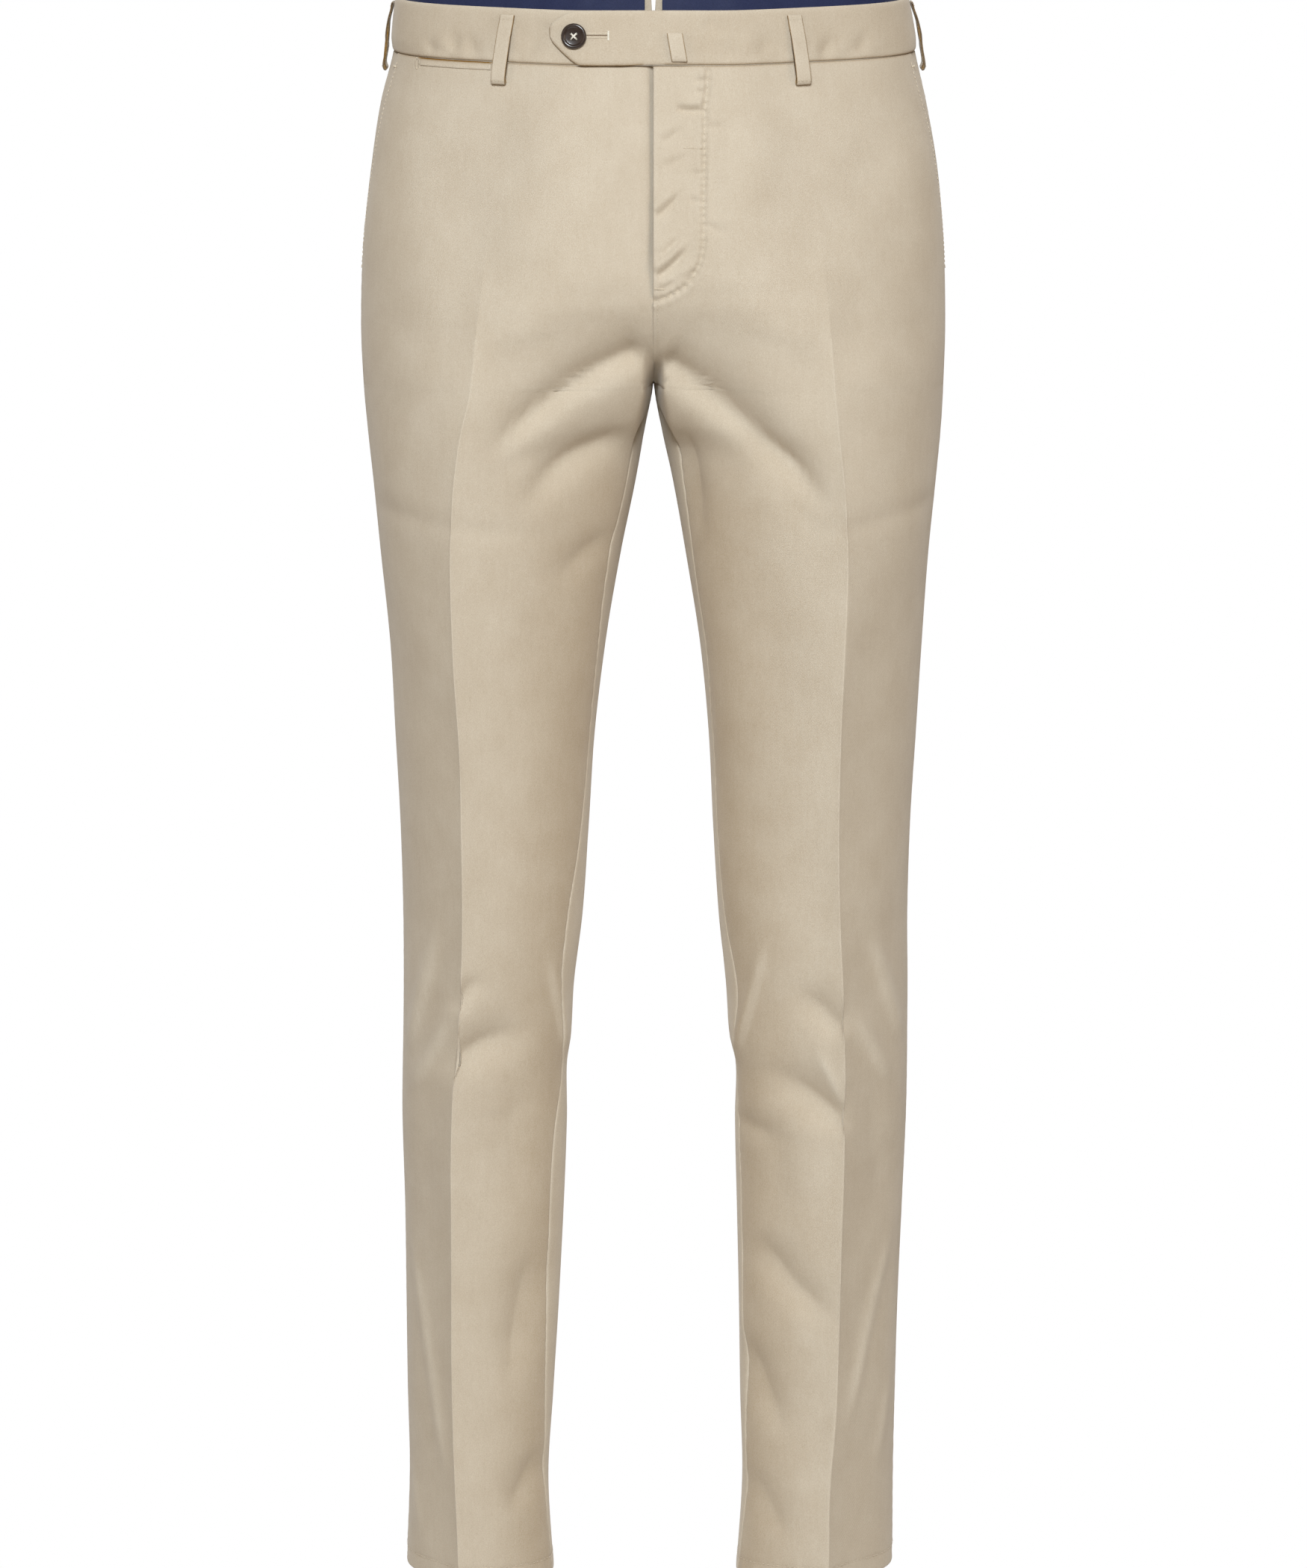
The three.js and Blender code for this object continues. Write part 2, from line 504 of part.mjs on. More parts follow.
// Belt loops: where each one's middle lies at its top and at its foot, and whether on the back.
const LOOP_WIDTH = 10.4;
const LOOPS = [
  { name: "belt_loop_front_right", side: -1, top: 96, foot: 102, back: false },
  { name: "belt_loop_front_left", side: 1, top: 92.5, foot: 98.5, back: false },
  { name: "belt_loop_back_right", side: -1, top: 62, foot: 62, back: true },
  { name: "belt_loop_back_left", side: 1, top: 62, foot: 62, back: true },
];
const LOOP_HIGH = 31;
const LOOP_FOOT = -15;
const onBand = BAND_PROUD + 0.2;

// The share that lies a distance round the section from share s, at level h.
function beside(side, s, h, distance) {
  const speed = bare(side, s + 0.002, h).distanceTo(bare(side, s - 0.002, h)) / 0.004;
  return s + distance / speed;
}

function beltLoop(side, centre) {
  const edges = [-0.5, 0, 0.5].map((k) => (h) => beside(side, centre(h), h, k * LOOP_WIDTH));
  const outline = loopOutline(LOOP_HIGH, LOOP_FOOT, LOOP_STAND).map(([h, lift]) => [h, lift + onBand]);
  return strap(side, outline, edges);
}

for (const { name, side, top, foot, back } of LOOPS) {
  const centre = (h) => shareAtX(side, mix(foot, top, (h - LOOP_FOOT) / (LOOP_HIGH - LOOP_FOOT)), h, back);
  add(name, beltLoop(side, centre), twill);
}

// The side loops hang straight at the side seams.
const SIDE_LOOP = 0.508;
for (const { side, hand } of SIDES) add(`belt_loop_side_${hand}`, beltLoop(side, () => SIDE_LOOP), twill);

// The short keeper beside the fly, which holds a buckle's prong.
const KEEPER = { high: 21, low: 2, top: 14.3, foot: 17.6, width: 10.4, stand: 1 };
function keeper() {
  const middle = (h) => mix(KEEPER.foot, KEEPER.top, (h - KEEPER.low) / (KEEPER.high - KEEPER.low));
  const tabStep = BAND_PROUD + TAB_LIFT * (1 - smooth(0.01, 0.09, shareAtX(1, middle(10) - KEEPER.width / 2, 10)));
  const outline = [
    [KEEPER.high - 2, tabStep + GAP], [KEEPER.high, tabStep + GAP + 0.4],
    [KEEPER.high, tabStep + KEEPER.stand + LOOP_THICK - 0.3],
    [KEEPER.low + 4, tabStep + KEEPER.stand + LOOP_THICK], [KEEPER.low, tabStep + GAP + 1],
    [KEEPER.low, tabStep + GAP], [KEEPER.low + 4, tabStep + KEEPER.stand], [KEEPER.high - 3, tabStep + KEEPER.stand],
  ];
  const edges = [-0.5, 0, 0.5].map((k) => (h) => shareAtX(1, middle(h) + k * KEEPER.width, h));
  return strap(1, outline, edges);
}
add("prong_keeper", keeper(), twill);

// The button: a dished disc with four holes, fastened through the tab.
const BUTTON = { radius: 8.5, thick: 2.6, bevel: 0.7, x: 52, level: 19, hole: 0.9, spacing: 3.4 };
function button() {
  const shape = new THREE.Shape().absarc(0, 0, BUTTON.radius - BUTTON.bevel, 0, 2 * Math.PI);
  for (const i of [-0.5, 0.5])
    for (const j of [-0.5, 0.5])
      shape.holes.push(new THREE.Path().absarc(i * BUTTON.spacing, j * BUTTON.spacing, BUTTON.hole, 0, 2 * Math.PI, true));
  const geometry = new THREE.ExtrudeGeometry(shape, {
    depth: BUTTON.thick - 2 * BUTTON.bevel,
    bevelEnabled: true,
    bevelThickness: BUTTON.bevel,
    bevelSize: BUTTON.bevel * 0.5,
    bevelSegments: 1,
    curveSegments: 6,
  });
  const s = shareAtX(-1, BUTTON.x, BUTTON.level);
  const out = outward(-1, s, BUTTON.level);
  const turn = new THREE.Quaternion().setFromUnitVectors(new THREE.Vector3(0, 0, 1), out);
  const seat = cloth(-1, s, BUTTON.level, TAB_LIFT + BUTTON.bevel + 1.2);
  return geometry.applyQuaternion(turn).translate(seat.x, seat.y, seat.z);
}
add("waist_button", button(), horn);

// A narrow strip that lies on a panel, from one distance from the middle to another.
function strip(side, xFrom, xTo, low, high, thick, back, columns) {
  const grid = (lift) =>
    [low, high].map((h) => spread(xFrom, xTo, columns).map((x) => cloth(side, shareAtX(side, x, h, back), h, lift)));
  return wall(grid(GAP + 0.2 + thick), grid(GAP + 0.2));
}

// The coin pocket's folded edge lies just under the waist seam on the right front.
add("coin_pocket_edge", strip(-1, 108, 156, -5.5, -1.2, 0.8, false, 5), twill);

// Two narrow lips close each back pocket.
const LIP = { from: 38, to: 150, level: -62, height: 5.5, thick: 1 };
for (const { side, hand } of SIDES) {
  const lip = (low) => strip(side, LIP.from, LIP.to, low, low + LIP.height, LIP.thick, true, 9);
  add(`back_pocket_upper_lip_${hand}`, lip(LIP.level + GAP), twill);
  add(`back_pocket_lower_lip_${hand}`, lip(LIP.level - LIP.height), twill);
}

export default trousers;
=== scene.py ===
# %% [markdown]
# # Chino trousers
# A pair of sand-coloured cotton trousers, filled out as if somebody wore them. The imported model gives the
# frame: every piece here lies where its solid lies, in metres. The real thing is flat cloth that a presser
# has creased and a body has rounded, so most of this lesson makes one cloth surface from level sections,
# and then cuts it into the panels, bands and straps that a maker would sew.

# %% Load the frame
import functools
import math

import bmesh
import bpy
import numpy as np
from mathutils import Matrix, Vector
from mathutils.geometry import tessellate_polygon


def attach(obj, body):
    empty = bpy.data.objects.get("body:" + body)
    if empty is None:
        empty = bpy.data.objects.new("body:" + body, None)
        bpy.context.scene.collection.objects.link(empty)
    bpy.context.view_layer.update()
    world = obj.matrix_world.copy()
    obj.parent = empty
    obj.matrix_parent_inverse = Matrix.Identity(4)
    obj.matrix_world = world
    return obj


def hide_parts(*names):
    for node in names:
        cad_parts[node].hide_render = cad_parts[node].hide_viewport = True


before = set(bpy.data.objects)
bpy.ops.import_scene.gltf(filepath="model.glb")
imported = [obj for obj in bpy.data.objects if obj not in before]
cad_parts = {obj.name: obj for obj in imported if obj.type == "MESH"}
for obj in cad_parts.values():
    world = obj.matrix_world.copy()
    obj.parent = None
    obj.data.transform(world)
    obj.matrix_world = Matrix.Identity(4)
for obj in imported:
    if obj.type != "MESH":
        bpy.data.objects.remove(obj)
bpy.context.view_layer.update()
MM = 0.001

# %% [markdown]
# The photograph was taken from about waist height, a few metres away, with the whole length of the legs in
# the picture. A long lens at 4 m gives the same gentle perspective: the waistband is seen level from the
# front, and the hems from a little above.

# %% Camera
PHOTO_HEIGHT = 2100
MM_PER_PIXEL = 0.515
EYE = Vector((0, -4.0, 0.059))
AIM = Vector((0, 0, -0.503))
SENSOR = 36

camera = bpy.data.objects.new("camera", bpy.data.cameras.new("camera"))
bpy.context.scene.collection.objects.link(camera)
bpy.context.scene.camera = camera
camera.location = EYE
camera.rotation_euler = (AIM - EYE).to_track_quat("-Z", "Y").to_euler()
camera.data.sensor_width = SENSOR
camera.data.lens = SENSOR * (AIM - EYE).length / (PHOTO_HEIGHT * MM_PER_PIXEL * MM)
print("lens:", round(camera.data.lens, 1), "mm")

# %% [markdown]
# Studio light for clothes is soft and comes from the front and above, so that folds show a darker upper
# slope and a lighter lower one, while the white backdrop sends light round the sides of the legs.

# %% Light and backdrop
scene = bpy.context.scene
scene.view_settings.view_transform = "Standard"
world = bpy.data.worlds.new("studio")
scene.world = world
world.use_nodes = True


def add_node(tree, kind, inputs, out=0, **settings):
    """Adds a node, sets or links its inputs by name or number, and gives one of its outputs."""
    node = tree.nodes.new(kind)
    for name, setting in settings.items():
        setattr(node, name, setting)
    for key, value in inputs.items():
        if isinstance(value, bpy.types.NodeSocket):
            tree.links.new(value, node.inputs[key])
        else:
            node.inputs[key].default_value = value
    return node.outputs[out]


def white_behind():
    """A dim warm room with a white patch straight behind the trousers."""
    tree = world.node_tree
    seen = add_node(tree, "ShaderNodeTexCoord", {}, "Generated")
    apart = {0: seen, 1: (AIM - EYE).normalized()}
    away = add_node(tree, "ShaderNodeVectorMath", apart, "Value", operation="DISTANCE")
    edges = {"Value": away, "From Min": 0.24, "From Max": 0.55, "To Min": 1.0, "To Max": 0.0}
    patch = add_node(tree, "ShaderNodeMapRange", edges, interpolation_type="SMOOTHSTEP")
    colours = {0: patch, 6: (0.18, 0.138, 0.098, 1), 7: (1, 1, 1, 1)}
    background = tree.nodes["Background"].inputs
    tree.links.new(add_node(tree, "ShaderNodeMix", colours, 2, data_type="RGBA"), background["Color"])
    background["Strength"].default_value = 1.0


white_behind()


def softbox(name, place, aim, size, power, colour):
    """A square area light at a place, turned to look at another."""
    light = bpy.data.lights.new(name, "AREA")
    light.color = colour
    light.shape = "SQUARE"
    light.size = size
    light.energy = power
    lamp = bpy.data.objects.new(name, light)
    scene.collection.objects.link(lamp)
    lamp.location = place
    lamp.rotation_euler = (Vector(aim) - Vector(place)).to_track_quat("-Z", "Y").to_euler()


COOL, WARM = (0.885, 0.95, 1.0), (1.0, 0.8, 0.6)
softbox("key", (-0.1, -3.6, 1.5), (0, 0, -0.75), 1.1, 162, COOL)
softbox("fill_left", (-2.4, -1.8, 0.3), (0, 0, -0.5), 1.5, 7, WARM)
softbox("fill_right", (2.4, -1.8, 0.3), (0, 0, -0.5), 1.5, 12, WARM)
softbox("behind_left", (-2.2, 2.4, 1.2), (0, 0, -0.5), 1.4, 40, COOL)
softbox("behind_right", (2.2, 2.4, 1.2), (0, 0, -0.5), 1.4, 40, COOL)


def floor():
    """A pale round floor, low enough to stay out of the picture from the front."""
    mesh = bpy.data.meshes.new("floor")
    disc = bmesh.new()
    bmesh.ops.create_circle(disc, cap_ends=True, radius=1.4, segments=96)
    disc.to_mesh(mesh)
    disc.free()
    ground = bpy.data.objects.new("floor", mesh)
    ground.location = (0, 0, -1.5)
    scene.collection.objects.link(ground)
    paper = bpy.data.materials.new("floor_paper")
    paper.use_nodes = True
    shader = paper.node_tree.nodes["Principled BSDF"]
    shader.inputs["Base Color"].default_value = (0.8, 0.79, 0.77, 1)
    shader.inputs["Roughness"].default_value = 0.9
    mesh.materials.append(paper)


floor()

# %% [markdown]
# Trousers are drafted from level measures: how wide the garment is at the waist, hip, knee and hem, where
# its creases hang and how deep it is. The tables give those in millimetres from the middle of the waist,
# the same as the solids'. Level h is height above the side's waist seam.

# %% Outline and side view
WALL = 1.1
GAP = 0.3
HEM = -1056
FORK = -226
FORK_Y = 12
WAIST_TILT = 0.1
TILT_REACH = 130
FRONT_RISE_CURVE = 80
BACK_RISE_CURVE = 92
BAND_HEIGHT = 36


def table(names, *rows):
    """A table of numbers as one array for each named column."""
    return dict(zip(names.split(), np.array(rows, float).T))


OUTLINE = {
    -1: table(
        "h outer crease back_crease inner seam",
        (40, 173.5, 104, 94, 0, 0),
        (10, 176.5, 104, 94, 0, 0),
        (0, 176, 105, 94, 0, 0),
        (-35, 185, 106, 92, 0, 0),
        (-80, 192, 108, 88, 0, 0),
        (-130, 197.5, 112, 86, 0, 0),
        (-185, 199.5, 118, 87, 0, 0),
        (-226, 198, 122, 90, 0, 0),
        (-256, 195.5, 129, 92, 5.5, 0.045),
        (-295, 191.5, 134, 94, 12.5, 0.055),
        (-343, 187, 136, 96, 22.5, 0.06),
        (-405, 181, 134.5, 98, 33, 0.054),
        (-467, 178, 131, 101, 40.5, 0.047),
        (-529, 175, 129.5, 103, 44.5, 0.06),
        (-592, 173.5, 129.5, 105, 49, 0.085),
        (-640, 173.5, 131.5, 107, 55, 0.086),
        (-676, 174, 134.5, 108, 57, 0.068),
        (-697, 174.5, 136.5, 108, 60, 0.055),
        (-735, 175, 138, 109, 60, 0.078),
        (-800, 173.5, 138.5, 109, 62.5, 0.085),
        (-866, 173, 139, 109, 66, 0.08),
        (-930, 172.5, 139, 109, 70, 0.07),
        (-990, 171.5, 137, 109, 73.5, 0.048),
        (-1056, 174, 135, 109, 70, 0.025),
    ),
    1: table(
        "h outer crease back_crease inner seam",
        (40, 171, 104, 94, 0, 0),
        (10, 176.5, 104, 94, 0, 0),
        (0, 177, 105, 94, 0, 0),
        (-35, 185, 106, 92, 0, 0),
        (-80, 193, 108, 88, 0, 0),
        (-130, 197.5, 112, 86, 0, 0),
        (-185, 199, 118, 87, 0, 0),
        (-226, 198, 121, 90, 0, 0),
        (-256, 196.5, 124, 92, 5, 0.05),
        (-295, 193, 128, 93, 13.5, 0.05),
        (-343, 188.5, 130, 95, 22, 0.054),
        (-405, 184.5, 128, 97, 32, 0.05),
        (-467, 181, 126, 99, 38, 0.046),
        (-529, 177.5, 125, 100, 41, 0.05),
        (-592, 176, 126.5, 102, 45, 0.059),
        (-640, 176.5, 129, 104, 50, 0.078),
        (-676, 176.5, 130, 105, 52.5, 0.06),
        (-697, 176.5, 130.5, 105, 57, 0.035),
        (-735, 176, 130.5, 105, 56.5, 0.04),
        (-800, 173.5, 129, 105, 58, 0.054),
        (-866, 171, 128, 104, 59.5, 0.059),
        (-930, 169.5, 125.5, 103, 60.5, 0.063),
        (-990, 168.5, 121.5, 102, 62, 0.055),
        (-1056, 168.5, 121, 101, 58, 0.045),
    ),
}
PROFILE = table(
    "h centre_front front side back centre_back inner pressed",
    (40, -92, -73, 0, 77, 90, 12, 0),
    (0, -93, -74, 0, 82, 94, 12, 0),
    (-60, -101, -83, 1, 103, 107, 12, 0),
    (-130, -106, -93, 2, 123, 117, 12, 0.02),
    (-175, -106, -100, 4, 126, 116, 12, 0.07),
    (-226, -105, -103, 5, 119, 112, 12, 0.14),
    (-280, -105, -103, 6, 109, 108, 13, 0.2),
    (-380, -105, -98, 9, 98, 98, 6, 0.26),
    (-520, -105, -89, 13, 88, 88, -2, 0.29),
    (-680, -105, -80, 16, 82, 82, -8, 0.3),
    (-850, -105, -69, 18, 81, 81, -10, 0.32),
    (-1056, -105, -58, 20, 75, 75, -12, 0.32),
)


def mix(a, b, t):
    return a + (b - a) * t


def smooth(start, end, v):
    """From 0 at the start to 1 at the end, level at both."""
    t = np.clip((v - start) / (end - start), 0, 1)
    return t * t * (3 - 2 * t)


def bell(v, width):
    """1 where v is 0, and close to 0 from two widths away."""
    return np.exp(-((v / width) ** 2))


def spread(*values):
    """The values as arrays of one shape."""
    return np.broadcast_arrays(*(np.asarray(value, float) for value in values))


def read(rows, column, h):
    """A column of a table at levels h, on a smooth curve through the rows, highest first."""
    level, value = rows["h"], rows[column]
    last = len(level) - 1
    i = np.clip(np.searchsorted(-level, -h, side="right") - 1, 0, last - 1)
    before, after = np.maximum(i - 1, 0), np.minimum(i + 2, last)
    step = level[i + 1] - level[i]
    t = np.clip((h - level[i]) / step, 0, 1)
    start = (value[i + 1] - value[before]) / (level[i + 1] - level[before]) * step
    end = (value[after] - value[i]) / (level[after] - level[i]) * step
    ends = value[i] * (1 + 2 * t) * (1 - t) ** 2 + value[i + 1] * t * t * (3 - 2 * t)
    return ends + start * t * (1 - t) ** 2 + end * t * t * (t - 1)


print("rows:", len(OUTLINE[1]["h"]), "in the outline and", len(PROFILE["h"]), "in the side view")

# %% [markdown]
# Each level section of one half is four cubic curves: inseam to front crease, front crease to side seam,
# and the same behind. Above the fork the curve from the leg is cut off where the rise seam crosses it, and
# higher up it turns into the flat curve of the belly or the seat. The share s says how far round the half
# a point is: 0 at the inseam or centre front, a quarter at the front crease, a half at the side seam.

# %% The cloth surface
HANDLE = 0.55
LEVELLING = 0.8
BACK_PRESS = 0.7
FLATTEN = 0.55


def pair(x, y):
    return np.stack(np.broadcast_arrays(x, y), -1)


def split(curve, t):
    """The point at t on a cubic curve, followed by the other control points of its rest."""
    a, b, c, d = curve
    t = np.asarray(t)[..., None]
    ab, bc, cd = mix(a, b, t), mix(b, c, t), mix(c, d, t)
    abc, bcd = mix(ab, bc, t), mix(bc, cd, t)
    return [mix(abc, bcd, t), bcd, cd, d]


def face_curves(side, h, front):
    """The two cubic curves of a half's front or back face at levels h, both ending at the crease."""
    crease_x = read(OUTLINE[side], "crease" if front else "back_crease", h)
    crease = pair(crease_x, read(PROFILE, "front" if front else "back", h))
    outer = pair(read(OUTLINE[side], "outer", h), read(PROFILE, "side", h))
    above = h > FORK
    inner_x = np.where(above, GAP / 2, np.maximum(GAP / 2, read(OUTLINE[side], "inner", h)))
    inner = pair(inner_x, np.where(above, FORK_Y, read(PROFILE, "inner", h)))
    q = np.clip((h - FORK) / (FRONT_RISE_CURVE if front else BACK_RISE_CURVE), 0, 1)
    middle = read(PROFILE, "centre_front" if front else "centre_back", h)
    seam = pair(inner_x, mix(inner[..., 1], middle, np.sqrt(1 - (1 - q) ** 2)))
    flat = smooth(0, FLATTEN, q)

    share = (crease[..., 0] - inner_x) / (outer[..., 0] - inner_x)
    fall = LEVELLING * (outer[..., 1] - mix(inner[..., 1], seam[..., 1], flat))
    press = read(PROFILE, "pressed", h) * (1 if front else BACK_PRESS)
    outer_lift = press * (outer[..., 1] - crease[..., 1]) + HANDLE * (1 - share) * fall
    inner_lift = press * (inner[..., 1] - crease[..., 1]) - HANDLE * share * fall
    outwards = pair(mix(crease[..., 0], outer[..., 0], HANDLE), crease[..., 1] + outer_lift)
    inwards = pair(mix(crease[..., 0], inner_x, HANDLE), crease[..., 1] + inner_lift)

    leg = [inner, pair(inner_x, mix(inner[..., 1], crease[..., 1], HANDLE)), inwards, crease]
    reach = np.zeros_like(q)
    for step in 0.25 / 2.0 ** np.arange(9):
        further = np.abs(split(leg, reach + step)[0][..., 1] - inner[..., 1])
        reach = np.where(further < np.abs(seam[..., 1] - inner[..., 1]), reach + step, reach)
    cleft = split(leg, reach)
    cleft[0] = seam
    belly = [seam, pair(mix(inner_x, crease[..., 0], HANDLE), seam[..., 1]), inwards, crease]
    from_inner = [mix(a, b, flat[..., None]) for a, b in zip(cleft, belly)]
    beside_outer = pair(outer[..., 0], mix(outer[..., 1], crease[..., 1], HANDLE))
    return from_inner, [outer, beside_outer, outwards, crease]


def bare(side, share, h):
    """Points of the unfolded surface of one half, in millimetres."""
    share, h = spread(share, h)
    s = np.where(h <= FORK, (share + 1) % 1, np.clip(share, 0, 1))
    t = 4 * np.abs(s - 0.5)
    at = np.zeros(s.shape + (2,))
    for front in (True, False):
        from_inner, from_outer = face_curves(side, h, front)
        on_face = np.where((t > 1)[..., None], split(from_inner, 2 - t)[0], split(from_outer, t)[0])
        at = np.where(((s < 0.5) == front)[..., None], on_face, at)
    x, y = np.maximum(GAP / 2, at[..., 0]), at[..., 1]
    return np.stack([side * x, y, h + WAIST_TILT * smooth(-TILT_REACH, 0, h) * y], -1)


def unit(v):
    return v / np.maximum(np.linalg.norm(v, axis=-1, keepdims=True), 1e-9)


def outward(side, s, h):
    """The bare surface's outward directions."""
    around = bare(side, s + 0.004, h) - bare(side, s - 0.004, h)
    up = bare(side, s, h + 1.5) - bare(side, s, h - 1.5)
    return side * unit(np.cross(around, up))


def share_at_x(side, x, h, back=False):
    """The share at which the front or back face lies x from the middle."""
    x, h = spread(x, h)
    near, far = np.full(x.shape, 1.0 if back else 0.0), np.full(x.shape, 0.5)
    for _ in range(22):
        middle = (near + far) / 2
        short = np.abs(bare(side, middle, h)[..., 0]) < x
        near, far = np.where(short, middle, near), np.where(short, far, middle)
    return (near + far) / 2


def beside(side, s, h, distance):
    """The share that lies a distance round the section from share s."""
    speed = np.linalg.norm(bare(side, s + 0.002, h) - bare(side, s - 0.002, h), axis=-1) / 0.004
    return s + distance / np.maximum(speed, 1)


for place, level, halves in (("waist", 0.0, 2), ("hip", -185.0, 2), ("hem", float(HEM), 1)):
    section = bare(1, np.linspace(0, 1, 90), level)
    print(place, "girth:", round(halves * np.linalg.norm(np.diff(section, axis=0), axis=1).sum()), "mm")

# %% [markdown]
# Folds are what make a surface read as cloth. Each row is a soft trough (depth below zero) or ridge along
# a curve from one point to another, drawn towards a third between them, by x from the middle and level h.
# It starts and ends with its own width, swells over the share `rise` and fades over the share `fade` of
# its length, and `lip` is how much the cloth bulges above it. Above its line a trough rises steeply at
# first and then slowly, and below the line it rises evenly. Slack cloth in front hangs in slanting folds
# from the fork and round the knee. The thin ridges beside the knee and shin are where two planes of
# pressed cloth meet.

# %% Folds
FOLD_COLUMNS = "x0 h0 x1 h1 x2 h2 depth start_width end_width rise fade lip"
FOLDS = {
    (-1, "front"): table(
        FOLD_COLUMNS,
        (2, -194, 82, -224, 113, -277, -13, 10, 7, 0.1, 0.4, 0),
        (70, -262, 96, -268, 106, -290, -1.6, 6, 5, 0.4, 0.4, 0.2),
        (4, -252, 63, -258, 94, -316, -8.8, 10, 8, 0.3, 0.45, 0),
        (22, -322, 52, -333, 74, -364, -3.8, 9, 10, 0.4, 0.5, 0),
        (196, -303, 122, -322, 62, -322, -1.3, 6, 8, 0.1, 0.4, 0.2),
        (60, -130, 90, -150, 120, -158, -0.6, 12, 12, 0.4, 0.4, 0.4),
        (151, -698, 118, -666, 80, -660, -10, 10, 14, 0.45, 0.5, 0.1),
        (116, -622, 128, -634, 139, -652, -3.6, 6, 5, 0.4, 0.3, 0.3),
        (82, -806, 98, -866, 101, -924, -6, 14, 10, 0.4, 0.4, 0.1),
        (80, -956, 92, -990, 104, -1008, -5, 11, 9, 0.4, 0.4, 0.1),
        (96, -690, 100, -740, 90, -800, -3, 14, 12, 0.4, 0.4, 0.1),
        (144, -575, 156, -630, 171, -690, 2.6, 6, 3.5, 0.5, 0.2, 0),
        (136, -646, 152, -682, 169, -714, 2.2, 5, 3.5, 0.4, 0.3, 0),
        (170, -795, 156, -890, 142, -994, 1.8, 3.5, 3.5, 0.3, 0.3, 0),
        (169, -965, 167, -1000, 160, -1038, 1.4, 3.5, 4, 0.4, 0.4, 0),
        (74, -600, 66, -650, 59, -692, 2, 4.5, 3, 0.4, 0.3, 0),
        (154, -696, 156, -760, 152, -830, -2.2, 11, 12, 0.3, 0.4, 0),
    ),
    (1, "front"): table(
        FOLD_COLUMNS,
        (2, -201, 62, -235, 121, -311, -14.5, 12, 7, 0.1, 0.3, 0),
        (62, -268, 92, -296, 112, -322, -1.6, 7, 5, 0.4, 0.3, 0.2),
        (16, -240, 30, -280, 38, -350, -6, 11, 10, 0.3, 0.5, 0),
        (196, -299, 150, -314, 92, -324, -1.3, 6, 7, 0.1, 0.4, 0.2),
        (62, -150, 92, -168, 124, -176, -0.6, 12, 12, 0.4, 0.4, 0.4),
        (138, -735, 109, -706, 70, -686, -10, 8, 15, 0.35, 0.5, 0.1),
        (132, -668, 118, -648, 92, -628, -6.5, 8, 12, 0.3, 0.5, 0.1),
        (56, -728, 72, -735, 88, -744, -3, 8, 7, 0.3, 0.4, 0.2),
        (72, -804, 96, -852, 129, -866, -7, 12, 10, 0.3, 0.4, 0.1),
        (64, -874, 78, -914, 93, -958, -5.5, 12, 9, 0.4, 0.4, 0.1),
        (66, -972, 82, -1000, 97, -1030, -4, 11, 10, 0.4, 0.4, 0.1),
        (84, -700, 88, -760, 80, -806, -3, 14, 12, 0.4, 0.4, 0.1),
        (144, -580, 158, -630, 172, -682, 2.6, 6, 3.5, 0.5, 0.2, 0),
        (135, -648, 150, -674, 164, -708, 2.3, 5, 3.5, 0.4, 0.3, 0),
        (108, -670, 120, -694, 131, -719, 1.8, 4, 3, 0.4, 0.3, 0),
        (167, -795, 150, -870, 131, -952, 1.8, 3.5, 3.5, 0.3, 0.3, 0),
        (165, -900, 160, -945, 153, -988, 1.5, 3.5, 3.5, 0.4, 0.4, 0),
        (80, -590, 68, -645, 56, -692, 2.2, 4.5, 3, 0.4, 0.3, 0),
        (152, -690, 156, -750, 152, -820, -2.2, 11, 12, 0.3, 0.4, 0),
    ),
    (-1, "back"): table(
        FOLD_COLUMNS,
        (22, -232, 84, -268, 150, -250, -4, 11, 11, 0.35, 0.45, 0.3),
        (40, -292, 92, -306, 128, -286, -2.4, 11, 10, 0.35, 0.45, 0.3),
        (26, -350, 70, -352, 120, -326, -1.6, 10, 10, 0.35, 0.45, 0.3),
        (68, -692, 112, -672, 150, -700, -4, 10, 8, 0.35, 0.35, 0.3),
        (80, -742, 110, -728, 152, -744, -2.4, 10, 10, 0.35, 0.45, 0.3),
        (70, -640, 104, -634, 140, -650, -1.5, 10, 9, 0.35, 0.45, 0.3),
        (84, -850, 110, -870, 150, -862, -1.3, 12, 12, 0.35, 0.45, 0.3),
        (90, -968, 116, -984, 150, -980, -1.2, 12, 12, 0.35, 0.45, 0.3),
        (30, -120, 60, -150, 110, -160, -0.8, 14, 14, 0.4, 0.4, 0.3),
    ),
    (1, "back"): table(
        FOLD_COLUMNS,
        (22, -236, 88, -264, 152, -244, -4, 11, 11, 0.35, 0.45, 0.3),
        (44, -288, 88, -304, 120, -296, -2.6, 11, 10, 0.35, 0.45, 0.3),
        (28, -342, 74, -350, 124, -322, -1.5, 10, 10, 0.35, 0.45, 0.3),
        (62, -684, 104, -676, 148, -708, -4, 10, 8, 0.35, 0.35, 0.3),
        (74, -738, 108, -732, 146, -752, -2.2, 10, 10, 0.35, 0.45, 0.3),
        (66, -632, 100, -628, 138, -646, -1.4, 10, 9, 0.35, 0.45, 0.3),
        (80, -842, 106, -864, 146, -858, -1.3, 12, 12, 0.35, 0.45, 0.3),
        (84, -960, 112, -978, 146, -972, -1.2, 12, 12, 0.35, 0.45, 0.3),
        (34, -124, 66, -148, 112, -166, -0.8, 14, 14, 0.4, 0.4, 0.3),
    ),
}
FOLD_SAMPLES = 24
LIP_AT, LIP_WIDTH = 1.9, 1.3
SLACK, TIGHT = 1.15, 1.15


